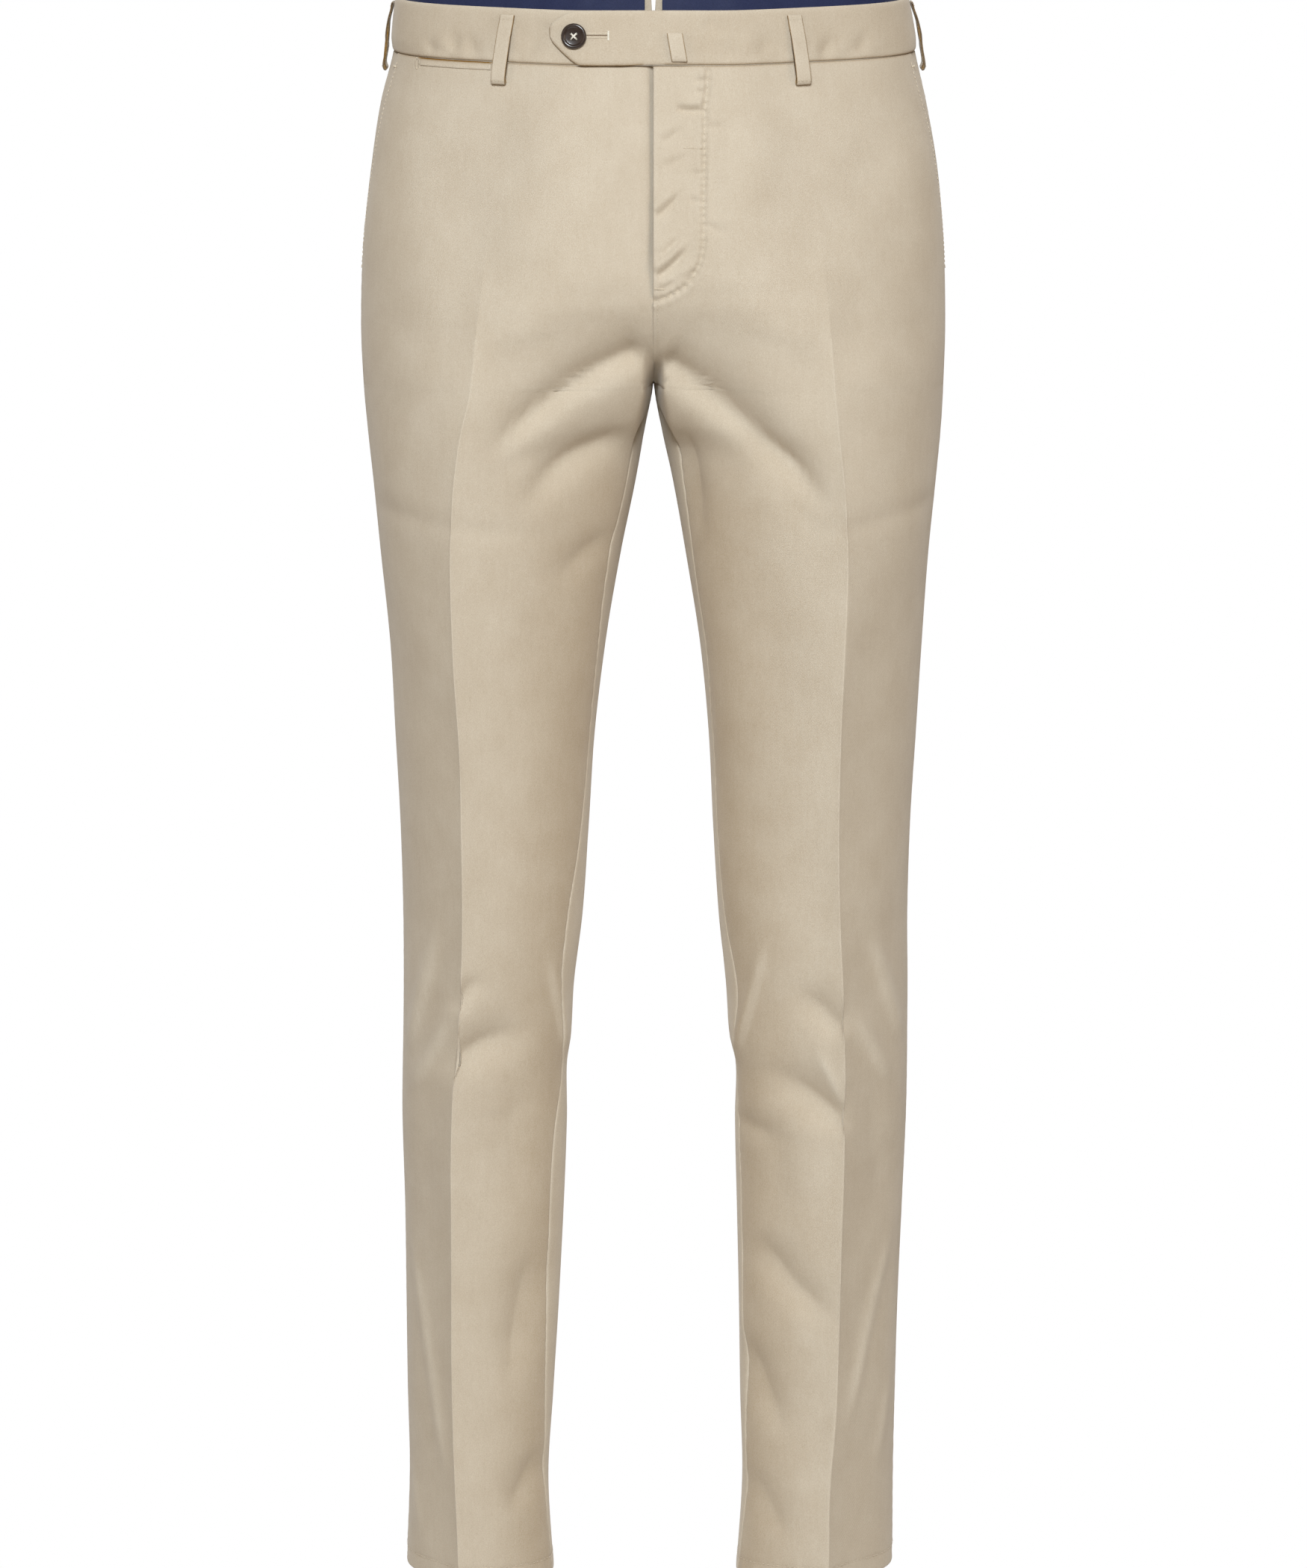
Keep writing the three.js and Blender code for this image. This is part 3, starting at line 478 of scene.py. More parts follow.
def fold_field(folds, x, h):
    """How far a face's folds move the points at x, h, all added up."""
    total = np.zeros(x.shape)
    t = np.linspace(0, 1, FOLD_SAMPLES + 1)
    for row in zip(*folds.values()):
        x0, h0, x1, h1, x2, h2, depth, start_width, end_width, rise, fade, lip = row
        reach = 4 * max(start_width, end_width)
        low_x, high_x = min(x0, x1, x2) - reach, max(x0, x1, x2) + reach
        low_h, high_h = min(h0, h1, h2) - reach, max(h0, h1, h2) + reach
        near = (x > low_x) & (x < high_x) & (h > low_h) & (h < high_h)
        if not near.any():
            continue
        px, ph = x[near], h[near]
        cx = x0 * (1 - t) ** 2 + 2 * x1 * t * (1 - t) + x2 * t * t
        ch = h0 * (1 - t) ** 2 + 2 * h1 * t * (1 - t) + h2 * t * t
        best = np.full(px.shape, np.inf)
        along, signed = np.zeros(px.shape), np.zeros(px.shape)
        for i in range(FOLD_SAMPLES):
            dx, dh = cx[i + 1] - cx[i], ch[i + 1] - ch[i]
            length = math.hypot(dx, dh)
            part = np.clip(((px - cx[i]) * dx + (ph - ch[i]) * dh) / length**2, 0, 1)
            away_x, away_h = px - cx[i] - part * dx, ph - ch[i] - part * dh
            away = np.hypot(away_x, away_h)
            closer = away < best
            best = np.where(closer, away, best)
            along = np.where(closer, (i + part) / FOLD_SAMPLES, along)
            upper = np.sign(away_h * abs(dx) - away_x * dh * np.sign(dx)) if dx else np.sign(away_x)
            signed = np.where(closer, away * upper, signed)
        width = mix(start_width, end_width, along)
        strength = smooth(0, rise, along) * smooth(1, 1 - fade, along)
        ridge = bell(signed, width)
        above_line = np.exp(-((np.maximum(signed, 0) / width) ** SLACK))
        below_line = bell(signed, TIGHT * width)
        shape = ridge if depth > 0 else np.where(signed > 0, above_line, below_line)
        shape = shape - lip * bell(signed - LIP_AT * width, LIP_WIDTH * width)
        total[near] += depth * strength * shape
    return total


print("folds:", sum(len(folds["depth"]) for folds in FOLDS.values()))

# %% [markdown]
# The fly's topstitching holds several layers together, so the cloth is drawn down along it, more at each
# stitch, and small drag lines run into it. Large soft waves keep the wide plain areas from looking like
# metal. Beside the fork the seams draw the front straight down past the hollow between the legs, and lower
# down the front rounds out a little towards the inseam.

# %% Fly, waves and the finished surface
FLY_WIDTH = 32
FLY_END = -167
FLY_STITCHES = np.array(
    [
        (36.3, -4), (35.4, -18), (34, -29), (33.6, -63), (33.1, -104), (33.2, -126), (32.4, -133),
        (31.2, -138), (28.8, -144), (25.8, -149), (20.6, -155), (14.4, -159), (8, -162.3), (0.6, -164.4),
    ],
    float,
)
STITCH_PITCH = 5.5
DRAG_DEPTH = 2.6
FLY_DRAGS = table(
    FOLD_COLUMNS,
    (13, -28, 24, -32, 35, -29, -1.1, 2, 2.6, 0.3, 0.2, 0.8),
    (0.5, -108, 9, -104, 21, -86, -0.9, 3, 2.2, 0.2, 0.4, 0.8),
    (1, -149, 12, -143, 27, -124, -1.3, 3, 2.4, 0.2, 0.4, 0.9),
    (4, -136, 12, -130, 20, -118, -0.5, 2.6, 2, 0.3, 0.4, 0.8),
    (3, -54, 12, -50, 22, -40, -0.5, 3, 2.4, 0.3, 0.4, 0.6),
    (4, -72, 14, -68, 28, -60, -0.4, 3, 2.6, 0.3, 0.4, 0.6),
    (26, -8, 32, -12, 36, -9, -0.5, 1.8, 1.8, 0.3, 0.3, 0.8),
    (27, -17, 33, -19, 38, -16, -0.5, 1.8, 2, 0.3, 0.3, 0.8),
    (24, -74, 29, -78, 33, -76, -0.4, 2, 2, 0.3, 0.3, 0.6),
    (22, -94, 28, -98, 33, -96, -0.4, 2, 2, 0.3, 0.3, 0.6),
    (18, -152, 24, -146, 31, -142, -0.5, 2, 2, 0.3, 0.3, 0.6),
    (3, -157, 9, -156, 16, -150, -0.5, 2, 2, 0.3, 0.3, 0.6),
    (34, -40, 42, -44, 54, -42, -0.4, 2.4, 4, 0.2, 0.6, 0.6),
    (33, -112, 42, -118, 56, -120, -0.4, 2.4, 4, 0.2, 0.6, 0.6),
)


def along_line(line, x, h):
    """Distance of points from a line of points, and how far along the line they lie."""
    best, along, travelled = np.full(x.shape, np.inf), np.zeros(x.shape), 0.0
    for (ax, ah), (bx, bh) in zip(line[:-1], line[1:]):
        dx, dh = bx - ax, bh - ah
        length = math.hypot(dx, dh)
        part = np.clip(((x - ax) * dx + (h - ah) * dh) / length**2, 0, 1)
        away = np.hypot(x - ax - part * dx, h - ah - part * dh)
        along = np.where(away < best, travelled + part * length, along)
        best = np.minimum(best, away)
        travelled += length
    return best, along


def fly_relief(x, h):
    """The drawn-down topstitching and drag lines on the left front."""
    total = DRAG_DEPTH * fold_field(FLY_DRAGS, x, h)
    near = (x < 50) & (h > -185) & (h < 6)
    away, along = along_line(FLY_STITCHES, x[near], h[near])
    dimple = 0.5 + 0.5 * np.cos(2 * math.pi * along / STITCH_PITCH)
    total[near] -= 0.9 * bell(away, 1.2) + 1.5 * dimple * bell(away, 2.4)
    total[near] += 0.55 * bell(away - 3.4, 1.7)
    return total


waves_random = np.random.default_rng(11)
WAVES = [
    (turn, 2 * math.pi / length, phase, 0.16 * (length / 60) ** 1.2)
    for turn, length, phase in zip(
        waves_random.uniform(-0.9, 0.9, 14),
        waves_random.uniform(28, 110, 14),
        waves_random.uniform(0, 2 * math.pi, 14),
    )
]


def waves(side, x, h, behind):
    """Large soft waves, which differ on each of the four faces."""
    total = np.zeros(x.shape)
    for turn, rate, phase, height in WAVES:
        slanting = math.cos(turn) * x + math.sin(turn) * h * 0.8
        total += height * np.sin(rate * slanting + phase * (2.3 + side + 1.7 * behind))
    return total


INNER_FULLNESS = 2.8
FULL_FROM, FULL_AT = -240, -330
BACK_DEPTH = 1.8
TUCK = 2.4
PLACKET_PROUD = 0.5


def inner_edge(side, h):
    """How far from the middle a half's section begins at levels h."""
    return np.where(h > FORK, GAP / 2, np.maximum(GAP / 2, read(OUTLINE[side], "inner", h)))


def relief(side, point, out, h):
    """How far the finished cloth stands out from the bare surface."""
    x = np.abs(point[..., 0])
    facing = smooth(0.06, 0.5, np.abs(out[..., 1]))
    in_front = out[..., 1] < 0
    front = fold_field(FOLDS[side, "front"], x, h)
    back = fold_field(FOLDS[side, "back"], x, h)
    total = np.where(in_front, front, BACK_DEPTH * back) * facing
    total += waves(side, x, h, ~in_front) * facing * smooth(8, -30, h)
    crease, inner = read(OUTLINE[side], "crease", h), inner_edge(side, h)
    towards_inseam = np.clip((crease - 6 - x) / (crease - inner), 0, 1)
    fullness = 6.75 * INNER_FULLNESS * towards_inseam**2 * (1 - towards_inseam)
    total += np.where(in_front, fullness * smooth(FULL_FROM, FULL_AT, h) * facing, 0)
    beside_fly = np.where(in_front, smooth(FLY_END - 10, FLY_END + 40, h), 0)
    if side < 0:
        tucked = TUCK * bell(x, 7) + TUCK * bell(x, 2.6)
        return total - tucked * beside_fly
    fly = np.where(in_front, fly_relief(x, h), 0)
    return total + PLACKET_PROUD * beside_fly * smooth(FLY_WIDTH + 4, FLY_WIDTH, x) + fly


DRAWN_FROM, DRAWN_TO = -280, -158
DRAWN_REACH = 120
BESIDE_FORK = np.linspace(0.01, DRAWN_REACH + 5, 70)


def front_depths(side, h):
    """The bare front's y at distances BESIDE_FORK from its section's inner edge."""
    h = np.full(BESIDE_FORK.shape, float(h))
    return bare(side, share_at_x(side, inner_edge(side, h) + BESIDE_FORK, h), h)[..., 1]


STRAIGHT = {side: (front_depths(side, DRAWN_FROM), front_depths(side, DRAWN_TO)) for side in (-1, 1)}


def fork_fill(side, s, h, point):
    """How far forward the front hangs as the seams draw it straight past the fork, and where."""
    t = (h - DRAWN_FROM) / (DRAWN_TO - DRAWN_FROM)
    beside_edge = np.abs(point[..., 0]) - inner_edge(side, h)
    low, high = (np.interp(beside_edge, BESIDE_FORK, depths) for depths in STRAIGHT[side])
    drawn = smooth(0, 0.25, t) * smooth(1, 0.88, t)
    drawn = drawn * smooth(0, 7, beside_edge) * smooth(DRAWN_REACH, 85, beside_edge)
    drawn = np.where(s < 0.35, drawn, 0)
    behind = point[..., 1] - mix(low, high, np.clip(t, 0, 1) ** 0.85)
    return drawn * 0.5 * (behind + np.hypot(behind, 3)), drawn


def cloth(side, s, h, lift=0.0):
    """Points on the finished surface of one half, moved out by a lift, in millimetres."""
    s, h, lift = spread(s, h, lift)
    point, out = bare(side, s, h), outward(side, s, h)
    fill, drawn = fork_fill(side, s, h, point)
    out = unit(mix(out, np.array([0, -1.0, 0]), 0.85 * drawn[..., None]))
    moved = point + out * (relief(side, point, out, h) + lift)[..., None]
    moved[..., 1] -= fill
    moved[..., 0] = side * np.maximum(0.03, side * moved[..., 0])
    return moved


print("drag lines at the fly:", len(FLY_DRAGS["depth"]))

# %% [markdown]
# Colour and weave are written once as sums of shader sockets. The small class below lets a shader's signals
# be added and multiplied like numbers.

# %% Materials


class Signal:
    """One output in a shader's node tree, which + - * join with numbers and other outputs."""

    def __init__(self, socket):
        self.socket = socket

    def add(self, kind, inputs, out=0, **settings):
        """A signal from a new node, with its inputs set by name or number."""
        inputs = {key: getattr(value, "socket", value) for key, value in inputs.items()}
        return Signal(add_node(self.socket.id_data, kind, inputs, out, **settings))

    def feed(self, inlet):
        self.socket.id_data.links.new(self.socket, inlet)

    def maths(self, operation, *values):
        return self.add("ShaderNodeMath", dict(enumerate(values)), operation=operation)

    def __add__(self, other):
        return self.maths("ADD", self, other)

    def __sub__(self, other):
        return self.maths("SUBTRACT", self, other)

    def __mul__(self, other):
        return self.maths("MULTIPLY", self, other)

    def sine(self):
        return self.maths("SINE", self)

    def noise(self, scale, detail=2.0):
        """A noise from 0 to 1 at this position, with so many lumps to a metre."""
        return self.add("ShaderNodeTexNoise", {"Vector": self, "Scale": scale, "Detail": detail})

    __radd__ = __add__
    __rmul__ = __mul__


def new_material(name, roughness):
    """A material, its shader node and a signal for its object coordinates."""
    made = bpy.data.materials.new(name)
    made.use_nodes = True
    tree = made.node_tree
    shader = tree.nodes["Principled BSDF"]
    shader.inputs["Roughness"].default_value = roughness
    return made, shader, Signal(add_node(tree, "ShaderNodeTexCoord", {}, "Object"))


def paint(shader, place, factor, dark, light):
    """Sets the base colour to go from dark to light with a factor, and past them outside 0 to 1."""
    colours = {0: factor, 6: (*dark, 1), 7: (*light, 1)}
    colour = place.add("ShaderNodeMix", colours, 2, data_type="RGBA", clamp_factor=False)
    colour.feed(shader.inputs["Base Color"])


def bump(shader, place, height, strength, distance):
    normal = place.add("ShaderNodeBump", {"Strength": strength, "Distance": distance, "Height": height})
    normal.feed(shader.inputs["Normal"])


RIB = 0.0011


def twill(name, dark, light, roughness, sheen):
    """Cotton twill: fine slanting ribs, uneven upright yarns, mottling, worn lighter edges and painted
    shade.
    """
    made, shader, place = new_material(name, roughness)
    sideways = place.add("ShaderNodeSeparateXYZ", {0: place.add("ShaderNodeUVMap", {})})
    up = Signal(sideways.socket.node.outputs["Y"])
    wear_and_shade = place.add("ShaderNodeAttribute", {}, 2, attribute_name="edge")
    wander = place.noise(420.0, 3.0)
    ribs = ((sideways + up * 0.5) * (2 * math.pi / RIB) + wander * 5).sine() * 0.5 + 0.5
    grain = place.noise(1500.0, 3.0)
    cloudy = place.noise(38.0, 3.0)
    upright = place.add("ShaderNodeMapping", {"Vector": place, "Scale": (1, 1, 0.14)})
    slub = upright.noise(330.0, 3.0)
    mottling = (cloudy - 0.5) * 0.5 + (slub - 0.5) * 0.22
    weave = (grain - 0.5) * 1.3 + (ribs - 0.5) * 0.06
    # The edge attribute lightens worn edges above zero and paints shade into the colour below zero.
    paint(shader, place, 0.5 + mottling + weave + wear_and_shade * 0.3, dark, light)
    bump(shader, place, ribs * 0.35 + grain * 0.9 + place.noise(160.0) * 1.2, 0.22, 0.0006)
    shader.inputs["Sheen Weight"].default_value = sheen
    shader.inputs["Sheen Roughness"].default_value = 0.45
    shader.inputs["Sheen Tint"].default_value = (1.0, 0.96, 0.9, 1)
    shader.inputs["Specular IOR Level"].default_value = 0.25
    return made


CLOTH = twill("sand_twill", (0.47, 0.387, 0.285), (0.64, 0.571, 0.465), 0.86, 0.2)
THREAD = twill("sand_thread", (0.52, 0.44, 0.33), (0.74, 0.66, 0.53), 0.7, 0.2)
CREAM = twill("cream_thread", (0.7, 0.66, 0.56), (0.86, 0.83, 0.75), 0.8, 0.2)
# A dark material for the painted shade in the buttonhole's opening.
SLIT_SHADE = twill("painted_slit_shade", (0.16, 0.11, 0.07), (0.26, 0.19, 0.13), 0.9, 0.1)
LINING = twill("navy_lining", (0.013, 0.018, 0.056), (0.03, 0.04, 0.105), 0.55, 0.15)


def horn():
    """Polished dark horn, with faint lighter streaks."""
    made, shader, place = new_material("dark_horn", 0.28)
    stretched = place.add("ShaderNodeMapping", {"Vector": place, "Scale": (1, 1, 3.5)})
    paint(shader, place, stretched.noise(240.0, 4.0), (0.012, 0.008, 0.007), (0.05, 0.032, 0.025))
    bump(shader, place, place.noise(900.0), 0.06, 0.0003)
    shader.inputs["Coat Weight"].default_value = 0.35
    shader.inputs["Coat Roughness"].default_value = 0.12
    return made


HORN = horn()
print("materials:", [m.name for m in (CLOTH, THREAD, CREAM, SLIT_SHADE, LINING, HORN)])

# %% [markdown]
# Every cut piece is a closed thin wall between an outer and an inner grid of points. Near its cut or folded
# edges the outside sinks a little and the inside rises, which rounds the edge as folded cloth does.

# %% Closed walls of cloth
SEAM_EDGE = [0, 0.5, 1.2, 2.2]
SINK_AT = [0, 0.5, 1.2, 2.2, 4]
SEAM_SINK = [0.8, 0.42, 0.15, 0.04, 0]


def sink(distance, deepest=0.8):
    """How far the cloth sinks at a distance from a sewn edge."""
    return np.interp(distance, SINK_AT, np.array(SEAM_SINK) / SEAM_SINK[0]) * deepest


def corners(a, b, c, d):
    return np.stack([a.ravel(), b.ravel(), c.ravel(), d.ravel()], 1)


def ring_faces(number):
    """Faces between neighbouring closed rings of numbered points."""
    after = np.roll(number, -1, axis=1)
    return corners(number[:-1], after[:-1], after[1:], number[1:]).tolist()


def solid_mesh(name, points, faces, uv=None, edge=None):
    """A smooth mesh in metres from points in millimetres, with its faces turned outwards."""
    mesh = bpy.data.meshes.new(name)
    mesh.from_pydata((np.asarray(points) * MM).tolist(), [], [list(face) for face in faces])
    mesh.update()
    shell = bmesh.new()
    shell.from_mesh(mesh)
    if shell.calc_volume(signed=True) < 0:
        bmesh.ops.reverse_faces(shell, faces=shell.faces)
    shell.to_mesh(mesh)
    shell.free()
    mesh.shade_smooth()
    vertices = np.zeros(len(mesh.loops), np.int32)
    mesh.loops.foreach_get("vertex_index", vertices)
    flat = np.asarray(points)[:, [0, 2]] if uv is None else uv
    layer = mesh.uv_layers.new(name="flat")
    layer.data.foreach_set("uv", (np.asarray(flat) * MM)[vertices].ravel())
    # The edge attribute holds each point's wear above zero and its painted shade below zero.
    wear_and_shade = mesh.attributes.new("edge", "FLOAT", "POINT")
    wear_and_shade.data.foreach_set("value", np.zeros(len(points)) if edge is None else edge)
    return mesh


def make(name, mesh, material, node=None):
    """Puts a piece in the scene, rides it on the body and lets it stand for its node."""
    piece = bpy.data.objects.new(name, mesh)
    scene.collection.objects.link(piece)
    mesh.materials.append(material)
    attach(piece, "root")
    if node:
        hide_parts(node)
    return piece


def half_area(piece):
    """Half a closed piece's surface, in square metres: what its cloth measures laid flat."""
    return sum(face.area for face in piece.data.polygons) / 2


def wall(outer, inner, name, uv=None, edge=None):
    """A closed wall between two grids of points."""
    rows, columns = outer.shape[:2]
    points = np.concatenate([outer.reshape(-1, 3), inner.reshape(-1, 3)])
    out, back = np.arange(2 * rows * columns).reshape(2, rows, columns)
    faces = np.concatenate(
        [
            corners(out[:-1, :-1], out[:-1, 1:], out[1:, 1:], out[1:, :-1]),
            corners(back[:-1, :-1], back[1:, :-1], back[1:, 1:], back[:-1, 1:]),
            corners(out[:-1, 0], out[1:, 0], back[1:, 0], back[:-1, 0]),
            corners(out[:-1, -1], back[:-1, -1], back[1:, -1], out[1:, -1]),
            corners(out[0, :-1], back[0, :-1], back[0, 1:], out[0, 1:]),
            corners(out[-1, :-1], out[-1, 1:], back[-1, 1:], back[-1, :-1]),
        ]
    )

    def twice(grid):
        return np.concatenate([grid.reshape(rows * columns, -1)] * 2)

    uv = None if uv is None else twice(uv)
    edge = None if edge is None else twice(edge).ravel()
    return solid_mesh(name, points, faces, uv, edge)


def cloth_piece(name, outer, inner, node, uv=None, wear_and_shade=None, material=CLOTH):
    """Makes a closed wall that stands for its node, and says how much cloth it takes."""
    piece = make(name, wall(outer, inner, name, uv, wear_and_shade), material, node)
    print(name, "faces:", len(piece.data.polygons), "cloth:", round(half_area(piece), 6), "m2")
    return piece


def across(side, h, start, end, near, far, steps):
    """Shares from start to end on each level: at set distances from each end and evenly between them.
    Also gives the distances from the start and from the end."""
    t = np.linspace(0, 1, 97)
    s = start[:, None] + (end - start)[:, None] * t
    points = bare(side, s, h[:, None])
    lengths = np.cumsum(np.linalg.norm(np.diff(points, axis=1), axis=2), axis=1)
    lengths = np.concatenate([np.zeros((len(h), 1)), lengths], axis=1)
    shares, from_start, from_end = [], [], []
    for share, length in zip(s, lengths):
        middle = np.linspace(near[-1], length[-1] - far[-1], steps + 1)[1:-1]
        wanted = np.concatenate([near, middle, length[-1] - np.array(far[::-1], float)])
        shares.append(np.interp(wanted, length, share))
        from_start.append(wanted)
        from_end.append(length[-1] - wanted)
    return np.array(shares), np.array(from_start), np.array(from_end)


print("edge rounding in millimetres:", SEAM_SINK)

# %% [markdown]
# The four leg panels. A front panel ends at the pocket's mouth above the pocket's end, and above the fork
# its inner edge is the fly. Rows lie closer together there, where the fine folds are. Seams pucker
# slightly, and each leg end has its hem turned up inside. Seams and folded edges wear lighter. Painted
# shade darkens a line along the waist seam, the coin pocket's mouth, and the front towards the inseam.

# %% Leg panels
HEM_TURN = 14
HEM_STITCH = 12
PUCKER = 0.22
POCKET_END = -150
POCKET_LEAN = 0.045
CREASE_EDGE = [0.5, 1.3, 2.6]
SEAM_OVERLAP = 0.2
FINE_FROM = -190
# Strengths of painted shade: along the waist seam, in pocket mouths, and towards the inseam.
SEAM_SHADE = 6
MOUTH_SHADE = 5
INSEAM_SHADE = 1.6
COIN_FROM, COIN_TO = 108, 156
COIN_LOW, COIN_HIGH = -5.5, -1.2


def inseam_share(side, h):
    """Where the inseam lies: a little round towards the front of the leg."""
    return np.where(h < FORK, read(OUTLINE[side], "seam", h), 0.0)


def mouth_share(h):
    """Where a front panel ends: the pocket's slanting mouth, and the side seam below it."""
    return 0.5 - POCKET_LEAN * np.clip((h - POCKET_END) / -POCKET_END, 0, 1)


def panel_levels(low_step, high_step):
    """Levels from the hem to the waist seam, with close rows at both ends and where the fork opens."""
    hem = HEM + np.array([0, 0.2, 0.6, 1.2, 2.4, 5, 8, 10.5, HEM_STITCH, 13, HEM_TURN, HEM_TURN + 0.3])
    legs = np.arange(HEM + 17, FINE_FROM, low_step)
    rise = np.arange(legs[-1] + high_step, -4, high_step)
    at_fork = FORK + np.array([-0.7, -0.05, 0.02, 0.1, 0.25, 0.5, 0.8, 1.2, 1.7, 2.3])
    return np.unique(np.concatenate([hem, legs, at_fork, rise, [-2.6, -1.4, -0.6, -0.12]]))


def pucker(h, from_seam, phase):
    """Small dimples beside a seam, of uneven size."""
    beat = np.sin(h / 1.9 + 2 * np.sin(h / 13 + phase)) * (0.6 + 0.4 * np.sin(h / 37 + phase))
    return PUCKER * beat * bell(from_seam, 6)


def panel(side, front):
    """Outer and inner grids of a panel, its flat coordinates, and its edge wear with painted shade."""
    h = panel_levels(3.4, 1.6) if front else panel_levels(5, 3.6)
    inner_share = inseam_share(side, h) + (0 if front else 1)
    outer_edge = mouth_share(h) if front else np.full(h.shape, 0.5)
    crease = np.full(h.shape, 0.25 if front else 0.75)
    fine = np.arange(3.4, 44, 1.25) if front else np.arange(4, 30, 4.0)
    near = np.concatenate([SEAM_EDGE, fine])
    steps = 16 if front else 12
    s1, start1, end1 = across(side, h, inner_share, crease, near, [0, *CREASE_EDGE], steps)
    s2, start2, end2 = across(side, h, crease, outer_edge, CREASE_EDGE, SEAM_EDGE, 26 if front else 20)
    s = np.concatenate([s1, s2], 1)
    from_inner = np.concatenate([start1, start2 + start1[:, -1:]], 1)
    from_outer = np.concatenate([end1 + end2[:, :1] + start2[:, :1], end2], 1)
    off_crease = np.concatenate([end1, start2], 1)
    level = np.broadcast_to(h[:, None], s.shape)

    above_hem = level - HEM
    from_top = -level
    edge = np.minimum(from_inner, np.minimum(from_outer, from_top))
    lift = -sink(edge) - np.interp(above_hem, [0, 0.2, 0.6, 1.2], [1, 0.5, 0.15, 0])
    lift = lift + pucker(level, from_inner, side + front) * smooth(-150, -240, level)
    lift = lift + pucker(level, from_outer, 2 * side + front) * smooth(0, -30, level)
    lift = lift + 0.3 * bell(off_crease, 1.1) * smooth(-170, -240, level)
    girth = np.cumsum(np.ones_like(s), 1) * 2
    stitched = bell(above_hem - HEM_STITCH, 1.3)
    lift = lift - stitched * (0.3 + 0.2 * np.sin(girth * 1.9)) * (above_hem < 30)
    turned = 0.35 * np.sin(girth / 2.7 + 3 * np.sin(girth / 17)) * smooth(26, 4, above_hem)
    lift = lift + turned * bell(above_hem - 7, 7)

    thick = np.where(above_hem < HEM_TURN + 0.1, 2 * WALL, WALL)
    thick = thick - np.interp(above_hem, [0, 0.2, 0.6, 1.2], [1.9, 1.0, 0.3, 0])
    thick = np.maximum(thick - 0.7 * sink(edge, 0.4), 0.3)
    outer = cloth(side, s, level, lift)
    inner = cloth(side, s, level, lift - thick)
    seam_rows = h > FORK - 1
    for grid in (outer, inner):
        grid[seam_rows, 0, 0] = -side * SEAM_OVERLAP
    uv = np.stack([from_inner, level], -1)
    wear_and_shade = 0.7 * np.exp(-np.minimum(edge, above_hem) / 1.2)
    wear_and_shade = wear_and_shade + 0.6 * np.exp(-off_crease / 1.2) * (level < FINE_FROM)
    # Painted shade in a line along the waist seam.
    wear_and_shade = np.clip(wear_and_shade, 0, 1) - SEAM_SHADE * np.exp(-from_top / 0.7)
    if front:
        folds = FOLDS[side, "front"]
        ridges = {name: column[folds["depth"] > 0] for name, column in folds.items()}
        x = np.abs(outer[..., 0])
        crease, inner_x = read(OUTLINE[side], "crease", level), inner_edge(side, level)
        # Lighter along pressed ridges, and painted shade on the front's inner half towards the inseam.
        towards_inseam = smooth(0.1, 0.9, (crease - x) / (crease - inner_x)) * smooth(-235, -320, level)
        wear_and_shade += np.clip(0.4 * fold_field(ridges, x, level) ** 2, 0, 0.9) - INSEAM_SHADE * towards_inseam
        if side < 0:
            # Painted shade in the coin pocket's mouth, under its folded edge.
            along_coin = smooth(COIN_FROM - 2, COIN_FROM + 1, x) * smooth(COIN_TO + 3, COIN_TO - 1, x)
            wear_and_shade -= MOUTH_SHADE * bell(level + 0.7, 0.8) * along_coin
    return outer, inner, uv, wear_and_shade


SIDES = {-1: "right", 1: "left"}
# width and length of the smallest rectangle that each flat cut fits, and the cut's area
CUTS = {"front": ((0.285, 1.07), 0.225), "back": ((0.36, 1.09), 0.265)}

for side, hand in SIDES.items():
    for face, (cut, area) in CUTS.items():
        outer, inner, uv, wear_and_shade = panel(side, face == "front")
        piece = cloth_piece(f"{face}_panel_{hand}", outer, inner, f"{face}_{hand}", uv, wear_and_shade)

# %% [markdown]
# Above the panels comes the waistband, two layers of cloth with an interlining. Each half runs from the
# centre front to the centre back, where a narrow notch stays open. The left half carries on over the right
# one as a pointed tab. Its corners come from the photograph: x past the middle, and the low and high edge.

# %% Waistband
BAND_WALL = 2.4
BAND_PROUD = 0.9
TAB_LIFT = BAND_WALL + GAP
NOTCH_LOW, NOTCH_HIGH = 1.5, 5
DENT_DEPTH = 2.7
RIPPLE = 0.42
BAND_SINK = 1.1
BAND_STARTS = {-1: 0.0004, 1: 0.012}
TAB_SLANT = 0.78
BRIDGE = 7
BAND_ROWS = np.concatenate([[0, 0.35, 0.9, 1.8], np.arange(3.5, 33, 1.9), [33.9, 34.8, 35.35, 35.7]])
TAB = table(
    "x low high",
    (68.5, 21.0, 23.6),
    (68.1, 18.6, 25.2),
    (67.2, 16.6, 26.6),
    (66, 14.4, 27.9),
    (64, 12.2, 29.4),
    (61, 9.0, 31.4),
    (57.5, 5.6, 33.5),
    (54, 2.6, 35.1),
    (51.5, 0.8, 35.9),
    (49, -0.3, 36),
    (46, -0.5, 36),
    (20, -0.5, 36),
    (8, 0, 36),
)
